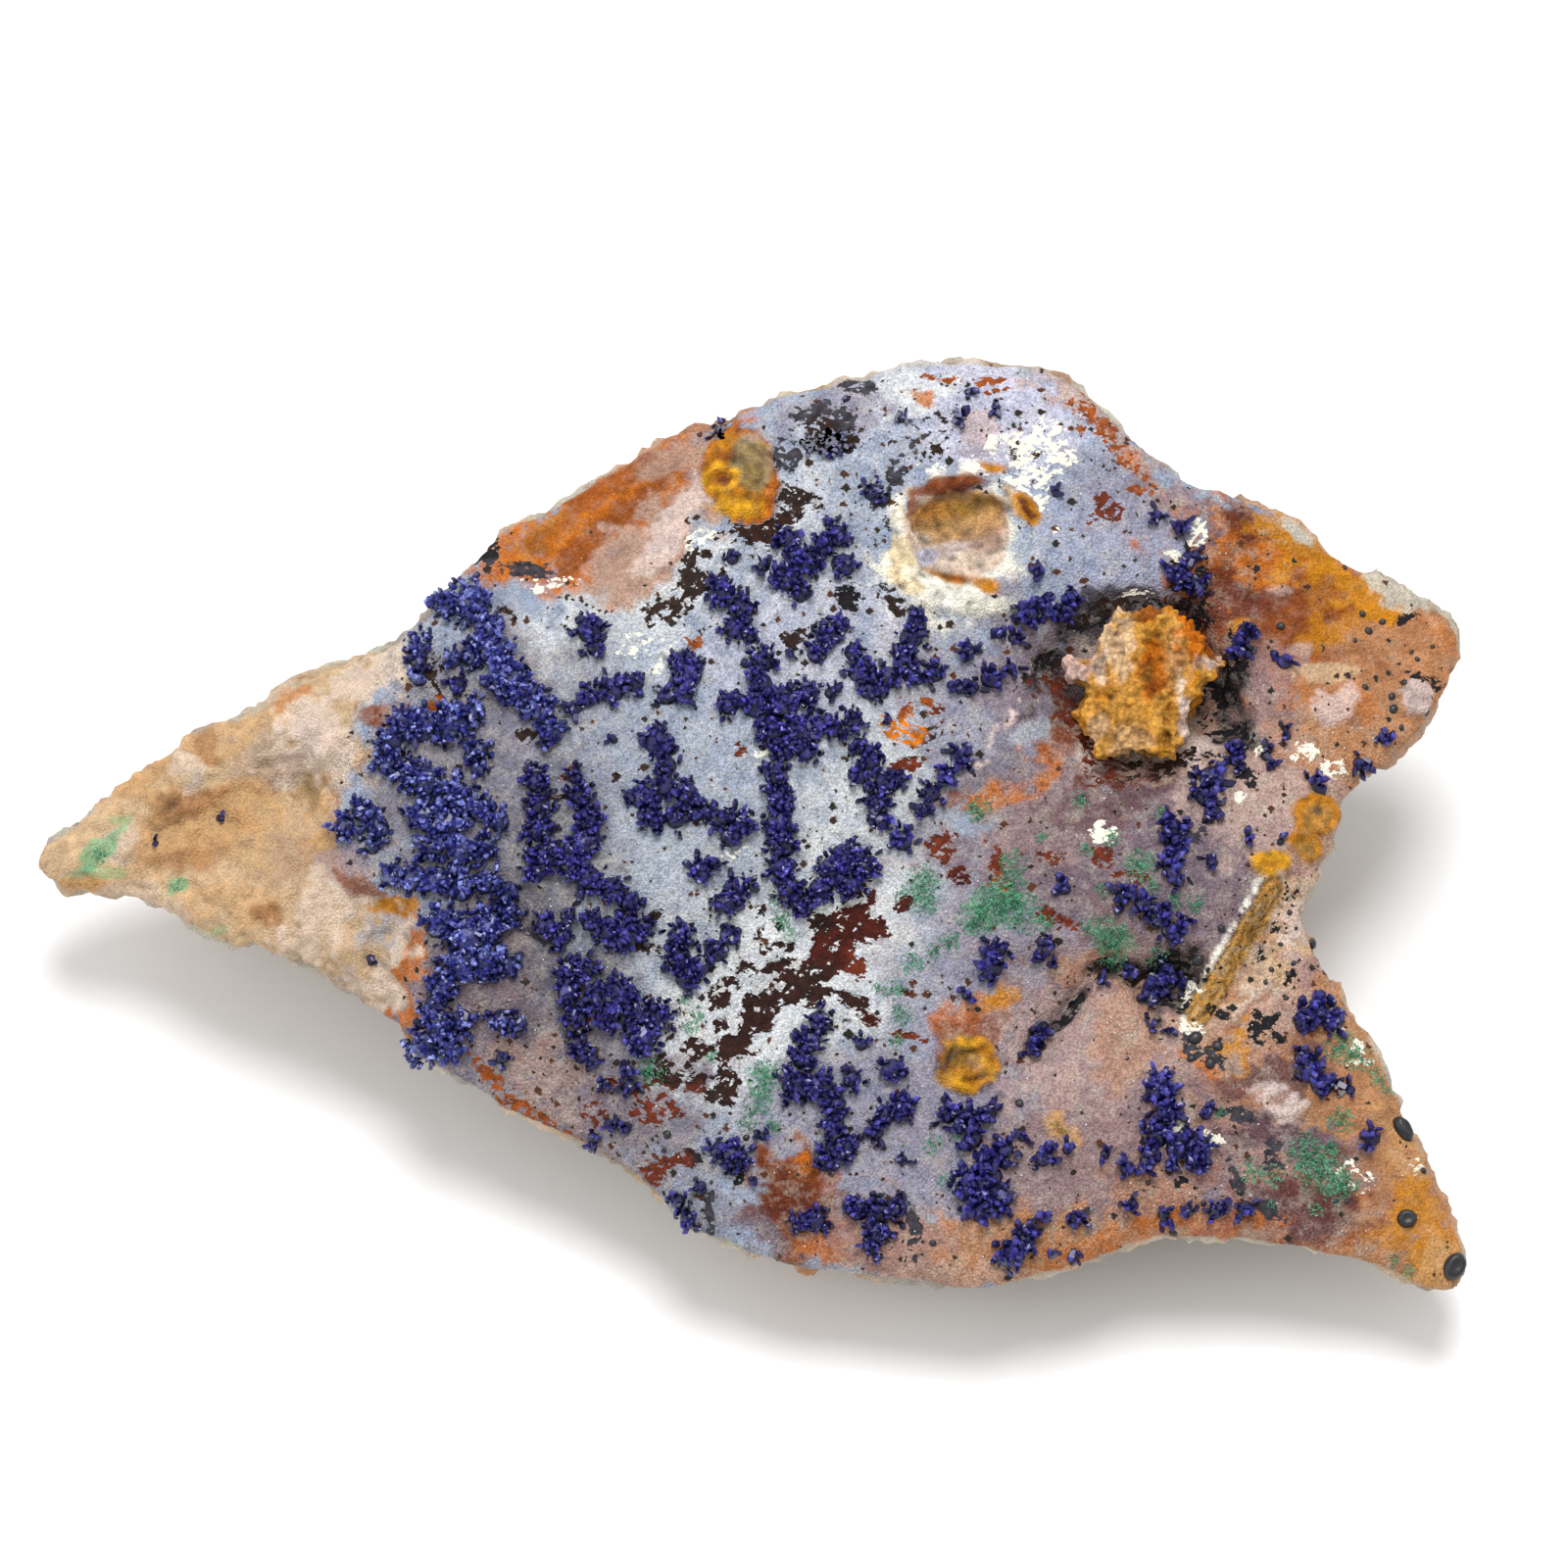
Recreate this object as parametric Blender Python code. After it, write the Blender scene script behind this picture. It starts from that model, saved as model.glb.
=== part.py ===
"""Azurite specimen: a broken slab of quartz rock, 92 mm long, with crystals grown on its broad face.

The face is drawn on a chart, a square sheet laid square on to the face. A place on the chart is given
in mm to the right of and below the chart's top left corner, and a height is in mm towards the viewer.
An empty named lean then tips the chart back to how the stone lies on its flat broken base.
"""

import math

import bmesh
import bpy
import numpy as np
from mathutils import Matrix, Vector, noise
from mathutils.bvhtree import BVHTree

MM = 0.001

# Driving dimensions, in mm and degrees
CHART_SIDE = 100.0
LEAN_DEG = 30.0
FACE_FALL_DEG = 15.0
FACE_HEIGHT = 17.0
RIM_THICKNESS = 3.4
UNDERCUT_SLOPE = 1.15
THICKEST = 26.0
EDGE_ROUNDING = 0.9
MATRIX_VOXEL = 0.95
MATRIX_TRIANGLES = 4600
GROWTH_GAP = 0.3
SEED_DEPTH = 1.3
SHORTEST_EDGE = 0.0005
FLAT_WITHIN_DEG = 4.0

# The outline of the slab, clockwise from the tip of the tail
OUTLINE = [
    (1.8, 54.8), (3.2, 53.1), (5.0, 52.4), (6.5, 50.3), (9.2, 48.7), (12.3, 46.4), (13.9, 46.1),
    (15.9, 45.1), (18.9, 43.0), (21.1, 42.3), (24.8, 40.4), (26.0, 40.3), (27.1, 39.2), (28.8, 36.6),
    (29.9, 36.3), (30.0, 35.3), (31.7, 33.9), (35.7, 31.8), (40.4, 28.9), (42.9, 27.3), (45.8, 26.8),
    (49.3, 25.0), (52.7, 24.0), (55.1, 23.7), (57.1, 22.9), (59.1, 22.6), (66.3, 22.8), (68.8, 23.8),
    (71.9, 27.1), (75.6, 30.3), (78.6, 31.1), (82.8, 32.9), (84.8, 34.9), (86.9, 36.1), (90.0, 36.8),
    (92.1, 38.7), (93.4, 39.6), (93.6, 40.5), (92.8, 43.8), (91.3, 46.1), (88.8, 48.8), (86.1, 50.6),
    (85.6, 51.3), (85.7, 52.7), (85.4, 53.9), (84.6, 54.5), (84.1, 55.8), (82.8, 58.4), (84.2, 61.1),
    (86.8, 65.3), (89.3, 70.4), (91.9, 76.3), (93.6, 80.8), (93.1, 82.0), (92.1, 82.6), (88.3, 80.9),
    (84.3, 79.8), (80.3, 79.1), (72.5, 78.6), (72.1, 79.3), (69.4, 80.4), (67.3, 80.8), (62.3, 82.3),
    (55.7, 81.3), (50.5, 80.8), (45.1, 78.7), (43.6, 78.0), (42.1, 76.2), (38.7, 73.6), (32.7, 71.0),
    (27.9, 68.0), (25.3, 66.0), (24.5, 64.7), (20.7, 62.3), (16.6, 60.4), (14.6, 60.5), (11.1, 58.8),
    (8.6, 57.3), (3.4, 57.1), (2.6, 55.8),
]

# Broad swells and dips of the face: x, y, long radius, short radius, turn in degrees, height
SWELLS = [
    (40.0, 51.0, 17.0, 15.0, 0.0, 2.4),
    (60.0, 50.0, 15.0, 11.0, 0.0, 0.6),
    (0.0, 55.0, 18.0, 30.0, 0.0, -4.5),
    (62.0, 22.0, 16.0, 5.0, 0.0, -2.2),
    (91.0, 40.0, 9.0, 9.0, 0.0, -2.4),
    (72.0, 57.5, 10.0, 4.2, 8.0, 2.0),
    (70.0, 72.5, 9.0, 6.5, 10.0, 1.5),
    (82.0, 61.0, 4.0, 6.0, 25.0, -0.9),
    (90.0, 79.0, 5.0, 5.0, 0.0, -0.8),
    (32.0, 70.0, 12.0, 4.0, -32.0, -1.8),
    (20.6, 45.9, 3.2, 2.6, 30.0, 2.1),
    (13.0, 48.9, 4.2, 1.9, 28.0, 1.2),
    (20.3, 56.6, 2.4, 4.0, 20.0, 1.6),
    (9.4, 52.1, 3.0, 1.6, 10.0, 0.9),
    (4.4, 55.0, 2.2, 1.6, 0.0, 1.1),
    (15.0, 57.6, 4.5, 1.5, -25.0, 0.9),
    (86.5, 44.0, 3.5, 1.6, 10.0, 0.5),
    (41.5, 36.0, 5.0, 0.8, 40.0, 0.5),
]

# Hollows with steep sides and a level floor: x, y, long radius, short radius, turn in degrees, depth
HOLLOWS = [
    (37.6, 32.9, 7.0, 2.7, 37.0, 1.1),
    (41.8, 34.3, 5.4, 1.9, 47.0, 0.8),
    (61.4, 34.2, 3.5, 2.7, 5.0, 0.9),
    (53.6, 60.0, 3.6, 1.5, 48.0, 0.45),
    (47.4, 64.3, 3.4, 1.6, 30.0, 0.35),
    (72.9, 43.6, 5.9, 5.6, 0.0, 2.4),
    (77.8, 45.8, 2.1, 1.6, -50.0, 1.6),
    (67.1, 42.5, 1.4, 1.6, 0.0, 1.5),
    (74.3, 62.9, 2.1, 1.7, 0.0, 1.5),
    (79.7, 60.6, 1.1, 5.6, -33.0, 0.7),
    (19.7, 50.6, 1.6, 1.9, 0.0, 1.2),
    (61.6, 67.8, 1.9, 1.7, 0.0, 0.35),
]

# Cracks: the places along each, then its half width and depth
CRACKS = [
    ([(65.4, 67.3), (67.2, 65.4), (69.2, 63.2), (70.6, 61.6)], 0.55, 1.9),
    ([(70.6, 61.6), (72.6, 62.6), (75.4, 62.2)], 0.6, 1.3),
    ([(77.0, 52.0), (79.2, 47.6), (78.4, 44.4), (76.6, 41.2), (75.4, 38.9)], 0.6, 1.2),
]

# The crust stands above the bare quartz of the tail along this line
CRUST_EDGE = [(25.6, 40.0), (23.4, 44.2), (21.8, 47.6), (20.9, 52.4), (22.4, 56.2), (26.2, 58.0), (26.0, 66.4)]
CRUST_STEP = 1.2

# The raised rim of pale crust round the crater: x, y, radius, half width, height
CRATER_RIM = (61.4, 34.4, 3.8, 0.8, 0.6)

# Roughness of the broken surfaces, as size and height of the lumps: the face, then the sides and underside
FACE_ROUGHNESS = [(4.5, 0.22), (1.7, 0.10)]
BROKEN_ROUGHNESS = [(9.0, 1.5), (3.2, 0.65), (1.6, 0.25)]

# The limonite block's outline, clockwise, with the heights of its foot and its top
BLOCK_OUTLINE = [
    (71.1, 39.3), (74.3, 38.7), (75.8, 39.9), (78.2, 42.3), (76.6, 44.1), (76.3, 45.5), (75.3, 47.1),
    (74.9, 48.3), (73.4, 48.2), (72.3, 47.7), (71.1, 48.4), (70.1, 48.2), (69.7, 46.7), (68.8, 46.2),
    (69.3, 44.1), (68.4, 43.4), (68.2, 42.2), (69.8, 41.9),
]
BLOCK_MIDDLE = (73.0, 43.6)
BLOCK_RISE = 2.9
BLOCK_BEVEL = 0.45
BLOCK_FACET = 1.6
BLOCK_ROUGHNESS = 0.9

# Azurite: the places and radii of the coarse crystals that have grown together in each cluster
AZURITE = [
    [(29.6, 38.5, 1.6), (31.4, 40.9, 1.7), (32.2, 43.1, 1.4), (33.8, 44.6, 1.6), (35.1, 46.7, 0.9),
     (29.5, 41.9, 1.0)],
    [(26.9, 40.9, 0.7), (26.6, 42.6, 0.9)],
    [(29.3, 45.9, 1.5), (26.5, 46.2, 1.5), (24.8, 47.9, 1.2), (26.7, 49.6, 1.5), (29.2, 50.8, 1.2),
     (31.2, 52.0, 1.3), (28.6, 52.5, 1.2), (26.9, 52.0, 1.0), (27.6, 54.0, 1.0), (29.4, 54.3, 1.1),
     (31.1, 54.1, 0.9)],
    [(30.5, 48.3, 1.0)],
    [(22.0, 52.8, 0.9), (23.2, 51.7, 0.9), (24.0, 53.2, 1.1)],
    [(25.9, 55.9, 1.3), (28.8, 56.4, 1.5), (31.6, 56.4, 1.3)],
    [(28.1, 58.9, 1.1), (29.8, 59.6, 1.4), (31.8, 58.7, 1.5), (29.5, 61.5, 1.3), (31.5, 61.2, 1.5),
     (28.4, 62.8, 1.0)],
    [(27.2, 66.6, 1.1), (28.5, 64.9, 1.6), (28.9, 66.8, 0.9)],
    [(34.3, 50.6, 1.2), (34.5, 52.9, 1.0), (34.8, 54.9, 1.3), (36.9, 50.4, 1.1), (37.4, 53.1, 1.5),
     (37.0, 55.5, 1.4), (39.5, 57.0, 1.3)],
    [(38.5, 59.1, 1.3), (40.4, 59.4, 1.3)],
    [(35.6, 59.1, 1.2)],
    [(36.7, 62.3, 1.4), (36.9, 64.8, 0.8), (38.9, 63.8, 1.8), (41.2, 65.2, 1.7)],
    [(37.2, 66.8, 1.0)],
    [(32.4, 65.1, 1.1)],
    [(43.4, 59.7, 0.9), (43.9, 61.6, 1.4), (46.1, 60.2, 1.2)],
    [(46.7, 57.1, 1.2)],
    [(45.0, 55.5, 0.9)],
    [(41.9, 47.3, 1.0), (42.4, 49.6, 1.1), (41.3, 51.4, 1.2), (43.7, 51.5, 1.3)],
    [(46.6, 52.6, 1.3)],
    [(37.7, 40.6, 1.2)],
    [(37.2, 44.8, 0.9), (39.5, 43.9, 1.2)],
    [(43.7, 42.7, 1.3), (43.2, 44.3, 1.0)],
    [(48.6, 42.9, 1.2), (47.5, 45.0, 1.3), (50.6, 44.7, 1.4), (49.2, 46.5, 1.1), (50.7, 47.2, 1.6),
     (52.6, 46.4, 1.0), (54.4, 45.9, 0.7)],
    [(52.1, 41.7, 0.8), (53.1, 40.4, 1.1)],
    [(45.9, 37.8, 1.0), (47.2, 39.6, 1.4)],
    [(50.2, 34.3, 0.8), (51.2, 35.7, 1.1), (53.0, 34.5, 1.2), (50.5, 37.2, 1.3)],
    [(53.8, 36.0, 0.9)],
    [(54.4, 41.6, 0.7), (55.1, 43.4, 1.2), (57.4, 42.8, 1.3), (59.6, 43.0, 0.7), (58.3, 40.3, 1.1)],
    [(65.6, 39.1, 0.9), (67.4, 38.9, 1.0)],
    [(55.1, 48.5, 1.2), (56.6, 49.7, 1.0), (56.0, 51.6, 1.0)],
    [(49.6, 50.3, 1.2), (49.7, 52.5, 1.0), (49.9, 54.6, 1.2), (51.3, 57.0, 1.5), (54.0, 55.5, 1.8)],
    [(60.7, 48.8, 1.0), (59.1, 51.1, 0.9)],
    [(57.5, 53.6, 0.8)],
    [(77.2, 49.6, 0.9), (77.0, 51.3, 1.2)],
    [(74.8, 53.2, 1.1), (74.7, 55.6, 0.9)],
    [(72.8, 57.6, 0.7), (74.1, 58.8, 1.0)],
    [(63.4, 61.1, 1.1)],
    [(73.9, 62.8, 1.5)],
    [(66.1, 66.3, 1.1)],
    [(83.8, 65.0, 1.4)],
    [(83.5, 68.4, 1.3)],
    [(73.8, 69.3, 1.1), (74.0, 71.6, 1.3), (75.6, 73.2, 1.5)],
    [(60.4, 70.9, 0.8), (62.1, 71.5, 1.3), (62.9, 74.4, 1.2), (64.0, 73.1, 0.7), (61.7, 75.6, 1.1),
     (63.1, 76.6, 1.2)],
    [(64.7, 79.4, 1.3)],
    [(52.2, 65.0, 0.8), (51.4, 66.8, 1.2), (51.5, 69.1, 1.5), (53.2, 70.9, 1.2), (54.3, 68.7, 0.7),
     (53.3, 73.3, 1.2)],
    [(56.9, 68.1, 0.8)],
    [(57.6, 70.4, 0.9), (56.2, 71.4, 1.0)],
    [(46.6, 73.5, 1.2)],
    [(51.6, 77.7, 1.1)],
    [(54.7, 76.9, 0.9), (56.5, 76.9, 1.1), (55.8, 78.7, 1.0)],
]
AZURITE_RISE = (0.42, 0.62)
AZURITE_TILT_DEG = 20.0
BLADE_FOOT = 1.4
BLADE_TIP = 0.8
BLADE_FLATNESS = 0.8
LEDGE_HALF_WIDTH = 0.62
LEDGE_NARROWING = 0.6
LEDGE_RISE = 0.5

# Malachite: low pads of green needles, as places and radii
MALACHITE = [
    [(62.2, 58.5, 1.0), (63.6, 57.8, 1.3), (65.2, 58.2, 1.1), (64.2, 56.6, 0.9)],
    [(58.8, 56.2, 0.9), (58.9, 57.5, 0.8)],
    [(70.6, 59.6, 1.1), (70.9, 61.0, 0.8)],
    [(84.0, 74.4, 1.4), (82.9, 73.2, 1.0), (84.9, 75.6, 0.8)],
    [(48.7, 68.6, 1.0), (48.4, 70.1, 0.9)],
]
MALACHITE_RISE = (0.2, 0.45)
MALACHITE_TILT_DEG = 6.0

# Manganese oxide: rounded black beads, as place, long radius, short radius and turn in degrees
BEADS = {
    "manganese_bead_tip": (92.4, 80.5, 0.95, 0.7, 60.0),
    "manganese_bead_edge": (89.2, 71.9, 0.9, 0.5, -62.0),
    "manganese_bead_horn": (89.4, 77.5, 0.65, 0.6, 0.0),
}
BEAD_RISE = 0.75


def clear_scene():
    for old in list(bpy.data.objects):
        bpy.data.objects.remove(old)


def on_chart(x, y, height=0.0):
    """A place on the chart and a height, all in mm, as a point in metres."""
    return Vector(((x - CHART_SIDE / 2) * MM, (CHART_SIDE / 2 - y) * MM, height * MM))


def smooth(share):
    """Rises smoothly from 0 to 1 as share does."""
    held = np.clip(share, 0.0, 1.0)
    return held * held * (3.0 - 2.0 * held)


def turned(x, y, centre_x, centre_y, turn_deg):
    """Offsets from a centre, along and across an axis turned anticlockwise from the chart's right."""
    turn = math.radians(turn_deg)
    right, up = x - centre_x, centre_y - y
    along = right * math.cos(turn) + up * math.sin(turn)
    across = up * math.cos(turn) - right * math.sin(turn)
    return along, across


def distance_to_path(x, y, path):
    """The distance in mm from each place to the nearest stretch of a path on the chart."""
    nearest = np.full(len(x), np.inf)
    for (x0, y0), (x1, y1) in zip(path, path[1:]):
        length_squared = (x1 - x0) ** 2 + (y1 - y0) ** 2
        share = np.clip(((x - x0) * (x1 - x0) + (y - y0) * (y1 - y0)) / length_squared, 0.0, 1.0)
        gap = np.hypot(x - x0 - share * (x1 - x0), y - y0 - share * (y1 - y0))
        nearest = np.minimum(nearest, gap)
    return nearest


def rim_distance(x, y):
    return distance_to_path(x, y, OUTLINE + OUTLINE[:1])


def lumps(points, roughness):
    """Smooth random lumps, in mm, summed over the given sizes and heights."""
    total = np.zeros(len(points))
    for size, height in roughness:
        total += height * np.array([noise.noise(Vector(point) / (size * MM)) for point in points])
    return total


def face_relief(x, y):
    """The height of the broad face, in mm, before its fine roughness."""
    height = (y - CHART_SIDE / 2) * math.tan(math.radians(FACE_FALL_DEG))
    for centre_x, centre_y, long_radius, short_radius, turn, rise in SWELLS:
        along, across = turned(x, y, centre_x, centre_y, turn)
        height += rise * np.exp(-((along / long_radius) ** 2) - (across / short_radius) ** 2)
    for centre_x, centre_y, long_radius, short_radius, turn, depth in HOLLOWS:
        along, across = turned(x, y, centre_x, centre_y, turn)
        out = np.hypot(along / long_radius, across / short_radius)
        height -= depth / (1.0 + out**8)
    for path, half_width, depth in CRACKS:
        height -= depth * np.exp(-((distance_to_path(x, y, path) / half_width) ** 2))
    edge_y = [place[1] for place in CRUST_EDGE]
    edge_x = [place[0] for place in CRUST_EDGE]
    height += CRUST_STEP * (smooth((x - np.interp(y, edge_y, edge_x)) / 1.2 + 0.5) - 1.0)
    centre_x, centre_y, radius, half_width, rise = CRATER_RIM
    from_rim = np.hypot(x - centre_x, y - centre_y) - radius
    height += rise * np.exp(-((from_rim / half_width) ** 2))
    return height


def floor_plane():
    """The floor as a point and a normal in the chart's frame."""
    lean = math.radians(LEAN_DEG)
    normal = Vector((0.0, math.sin(lean), math.cos(lean)))
    return normal * (-FACE_HEIGHT * MM), normal


def flat_slab(half_thickness):
    """The outline as a flat slab, remeshed into even squares that can then be pushed into shape."""
    bm = bmesh.new()
    corners = [bm.verts.new(on_chart(x, y, -half_thickness)) for x, y in OUTLINE]
    bottom = bm.faces.new(corners)
    raised = bmesh.ops.extrude_face_region(bm, geom=[bottom])
    top = [item for item in raised["geom"] if isinstance(item, bmesh.types.BMVert)]
    bmesh.ops.translate(bm, verts=top, vec=(0.0, 0.0, 2.0 * half_thickness * MM))
    bmesh.ops.recalc_face_normals(bm, faces=bm.faces)
    slab = new_object("slab", bm)
    remesh = slab.modifiers.new("even_squares", "REMESH")
    remesh.mode = "VOXEL"
    remesh.voxel_size = MATRIX_VOXEL * MM
    mesh = evaluated_mesh(slab)
    bpy.data.objects.remove(slab)
    return mesh


def new_object(name, bm, material=None):
    """A linked object holding the bmesh, which is freed."""
    mesh = bpy.data.meshes.new(name)
    bm.to_mesh(mesh)
    bm.free()
    made = bpy.data.objects.new(name, mesh)
    bpy.context.scene.collection.objects.link(made)
    if material:
        mesh.materials.append(material)
    return made


def evaluated_mesh(source):
    """A new mesh holding the object as its modifiers leave it."""
    graph = bpy.context.evaluated_depsgraph_get()
    return bpy.data.meshes.new_from_object(source.evaluated_get(graph))


def finish_material(name, colour, roughness):
    material = bpy.data.materials.new(name)
    material.use_nodes = True
    shader = material.node_tree.nodes["Principled BSDF"]
    shader.inputs["Base Color"].default_value = (*colour, 1.0)
    shader.inputs["Roughness"].default_value = roughness
    shader.inputs["Metallic"].default_value = 0.0
    return material


def make_matrix(material):
    """The host rock: the slab pushed into the face's relief, thickened to a belly and cut flat below."""
    half_thickness = 3.0
    mesh = flat_slab(half_thickness)
    points = np.empty(len(mesh.vertices) * 3)
    mesh.vertices.foreach_get("co", points)
    points = points.reshape(-1, 3)
    x = points[:, 0] / MM + CHART_SIDE / 2
    y = CHART_SIDE / 2 - points[:, 1] / MM
    below_face = np.clip((half_thickness - points[:, 2] / MM) / (2.0 * half_thickness), 0.0, 1.0)
    rim = rim_distance(x, y)
    thickness = np.minimum(RIM_THICKNESS + UNDERCUT_SLOPE * rim, THICKEST)
    height = face_relief(x, y) - EDGE_ROUNDING * np.exp(-rim / 0.7)
    height += lumps(points, FACE_ROUGHNESS) * (1.0 - below_face)
    height -= below_face * thickness
    height += below_face * lumps(points + (0.0, 0.0, 0.05), BROKEN_ROUGHNESS)
    points[:, 2] = height * MM
    mesh.vertices.foreach_set("co", points.ravel())
    rock = bpy.data.objects.new("rock", mesh)
    bpy.context.scene.collection.objects.link(rock)
    rock.modifiers.new("triangles", "TRIANGULATE")
    fewer = rock.modifiers.new("fewer_faces", "DECIMATE")
    fewer.ratio = MATRIX_TRIANGLES / triangle_count(rock)
    fewer.use_collapse_triangulate = True
    bm = bmesh.new()
    bm.from_mesh(evaluated_mesh(rock))
    bpy.data.objects.remove(rock)
    point, normal = floor_plane()
    everything = bm.verts[:] + bm.edges[:] + bm.faces[:]
    cut = bmesh.ops.bisect_plane(
        bm, geom=everything, dist=1e-6, plane_co=point, plane_no=normal, clear_inner=True
    )
    base_edges = [item for item in cut["geom_cut"] if isinstance(item, bmesh.types.BMEdge)]
    bmesh.ops.edgeloop_fill(bm, edges=base_edges)
    bmesh.ops.triangulate(bm, faces=bm.faces)
    bmesh.ops.recalc_face_normals(bm, faces=bm.faces)
    return new_object("matrix", bm, material)


def triangle_count(source):
    mesh = evaluated_mesh(source)
    mesh.calc_loop_triangles()
    return len(mesh.loop_triangles)


def clearance_cutter(matrix):
    """The rock moved towards the viewer by the growth gap, which trims what has grown on it."""
    cutter = bpy.data.objects.new("rock_clearance", matrix.data)
    cutter.location.z = GROWTH_GAP * MM
    cutter.hide_render = True
    cutter.display_type = "WIRE"
    bpy.context.scene.collection.objects.link(cutter)
    return cutter


def trimmed_bodies(bm, cutter):
    """Unites the shapes in bm, cuts away what lies in the rock, and returns each separate body left."""
    grown = new_object("grown", bm)
    trim = grown.modifiers.new("trim_to_rock", "BOOLEAN")
    trim.operation = "DIFFERENCE"
    trim.solver = "EXACT"
    trim.use_self = True
    trim.object = cutter
    bpy.context.view_layer.update()
    united = bmesh.new()
    united.from_mesh(evaluated_mesh(grown))
    bpy.data.objects.remove(grown)
    bmesh.ops.dissolve_limit(
        united, angle_limit=math.radians(FLAT_WITHIN_DEG), verts=united.verts, edges=united.edges
    )
    bmesh.ops.dissolve_degenerate(united, edges=united.edges, dist=SHORTEST_EDGE * MM)
    bmesh.ops.triangulate(united, faces=united.faces)
    united.faces.index_update()
    bodies = []
    left = set(united.faces)
    while left:
        body = set()
        waiting = [left.pop()]
        while waiting:
            face = waiting.pop()
            body.add(face)
            beside = {other for edge in face.edges for other in edge.link_faces} & left
            left -= beside
            waiting.extend(beside)
        bodies.append(copy_of_faces(body))
    united.free()
    return sorted(bodies, key=volume_of, reverse=True)


def copy_of_faces(faces):
    """A bmesh holding a copy of the given faces alone."""
    copied = bmesh.new()
    corners = {}
    for face in sorted(faces, key=lambda item: item.index):
        for vert in face.verts:
            if vert not in corners:
                corners[vert] = copied.verts.new(vert.co)
        copied.faces.new([corners[vert] for vert in face.verts])
    return copied


def volume_of(bm):
    return bm.calc_volume()


def face_point(surface, x, y):
    """Where a line square on to the chart meets the rock's face."""
    start = on_chart(x, y, 60.0)
    return surface.ray_cast(start, Vector((0.0, 0.0, -1.0)))[0]


def add_crystal(bm, foot, radius, rise, turn_deg, tilt_deg, slant):
    """One upright bladed crystal: a rhombic prism that narrows to a slanting top."""
    depth = rise + SEED_DEPTH
    made = bmesh.ops.create_cone(
        bm,
        cap_ends=True,
        segments=4,
        radius1=radius * MM * BLADE_FOOT,
        radius2=radius * MM * BLADE_TIP,
        depth=depth * MM,
    )["verts"]
    for vert in made:
        vert.co.y *= BLADE_FLATNESS
        vert.co.z += (rise - depth / 2.0) * MM
        if vert.co.z > 0.0:
            vert.co.z += slant * vert.co.x
    spin = Matrix.Rotation(math.radians(turn_deg), 4, "Z")
    lean = Matrix.Rotation(math.radians(tilt_deg), 4, "X")
    bmesh.ops.transform(bm, matrix=Matrix.Translation(foot) @ lean @ spin, verts=made)


def add_ledge(bm, start, end, half_width, rise):
    """A low crystal that lies along the rock and joins two upright ones."""
    along = end - start
    depth = rise + SEED_DEPTH
    made = bmesh.ops.create_cube(bm, size=1.0)["verts"]
    for vert in made:
        narrow = LEDGE_NARROWING if vert.co.z > 0.0 else 1.0
        vert.co.x *= along.to_2d().length
        vert.co.y *= 2.0 * half_width * MM * narrow
        vert.co.z = (rise * MM) if vert.co.z > 0.0 else (-SEED_DEPTH * MM)
        vert.co.z += along.z * vert.co.x / along.to_2d().length
    spin = Matrix.Rotation(math.atan2(along.y, along.x), 4, "Z")
    bmesh.ops.transform(bm, matrix=Matrix.Translation((start + end) / 2.0) @ spin, verts=made)


def nearest_links(places):
    """Pairs of places that join all of them by the shortest steps."""
    joined, pairs = [0], []
    while len(joined) < len(places):
        steps = [
            (math.dist(places[old][:2], places[new][:2]), old, new)
            for old in joined
            for new in range(len(places))
            if new not in joined
        ]
        shortest = min(steps)
        joined.append(shortest[2])
        pairs.append(shortest[1:])
    return pairs


def make_growths(prefix, clusters, surface, cutter, material, rise_share, least_rise, tilt_deg):
    """One node for each cluster: its crystals and the ledges between them, trimmed to the rock."""
    bm = bmesh.new()
    for places in clusters:
        feet = [face_point(surface, x, y) for x, y, _ in places]
        for (x, y, radius), foot in zip(places, feet):
            chance = noise.cell_vector(Vector((x * 3.1, y * 3.7, radius * 5.3)))
            rise = least_rise + rise_share * radius
            tilt = tilt_deg * (2.0 * chance.y - 1.0)
            add_crystal(bm, foot, radius, rise, 180.0 * chance.x, tilt, 0.7 * (chance.z - 0.5))
        for first, second in nearest_links(places):
            least = min(places[first][2], places[second][2])
            rise = least_rise + LEDGE_RISE * rise_share * least
            add_ledge(bm, feet[first], feet[second], LEDGE_HALF_WIDTH * least, rise)
    pieces = []
    bodies = trimmed_bodies(bm, cutter)
    for places in clusters:
        owner = next((body for body in bodies if stands_on(body, places)), None)
        if owner is None:
            continue
        bodies.remove(owner)
        pieces.append(new_object(f"{prefix}_{len(pieces) + 1:02d}", owner, material))
    return pieces


def stands_on(body, places):
    """Whether the middle of the body is nearer than a crystal's width to one of the places."""
    middle = sum((vert.co for vert in body.verts), Vector()) / len(body.verts)
    corners = [on_chart(x, y) for x, y, _ in places]
    return min((middle - corner).to_2d().length for corner in corners) < 1.6 * MM


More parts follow.
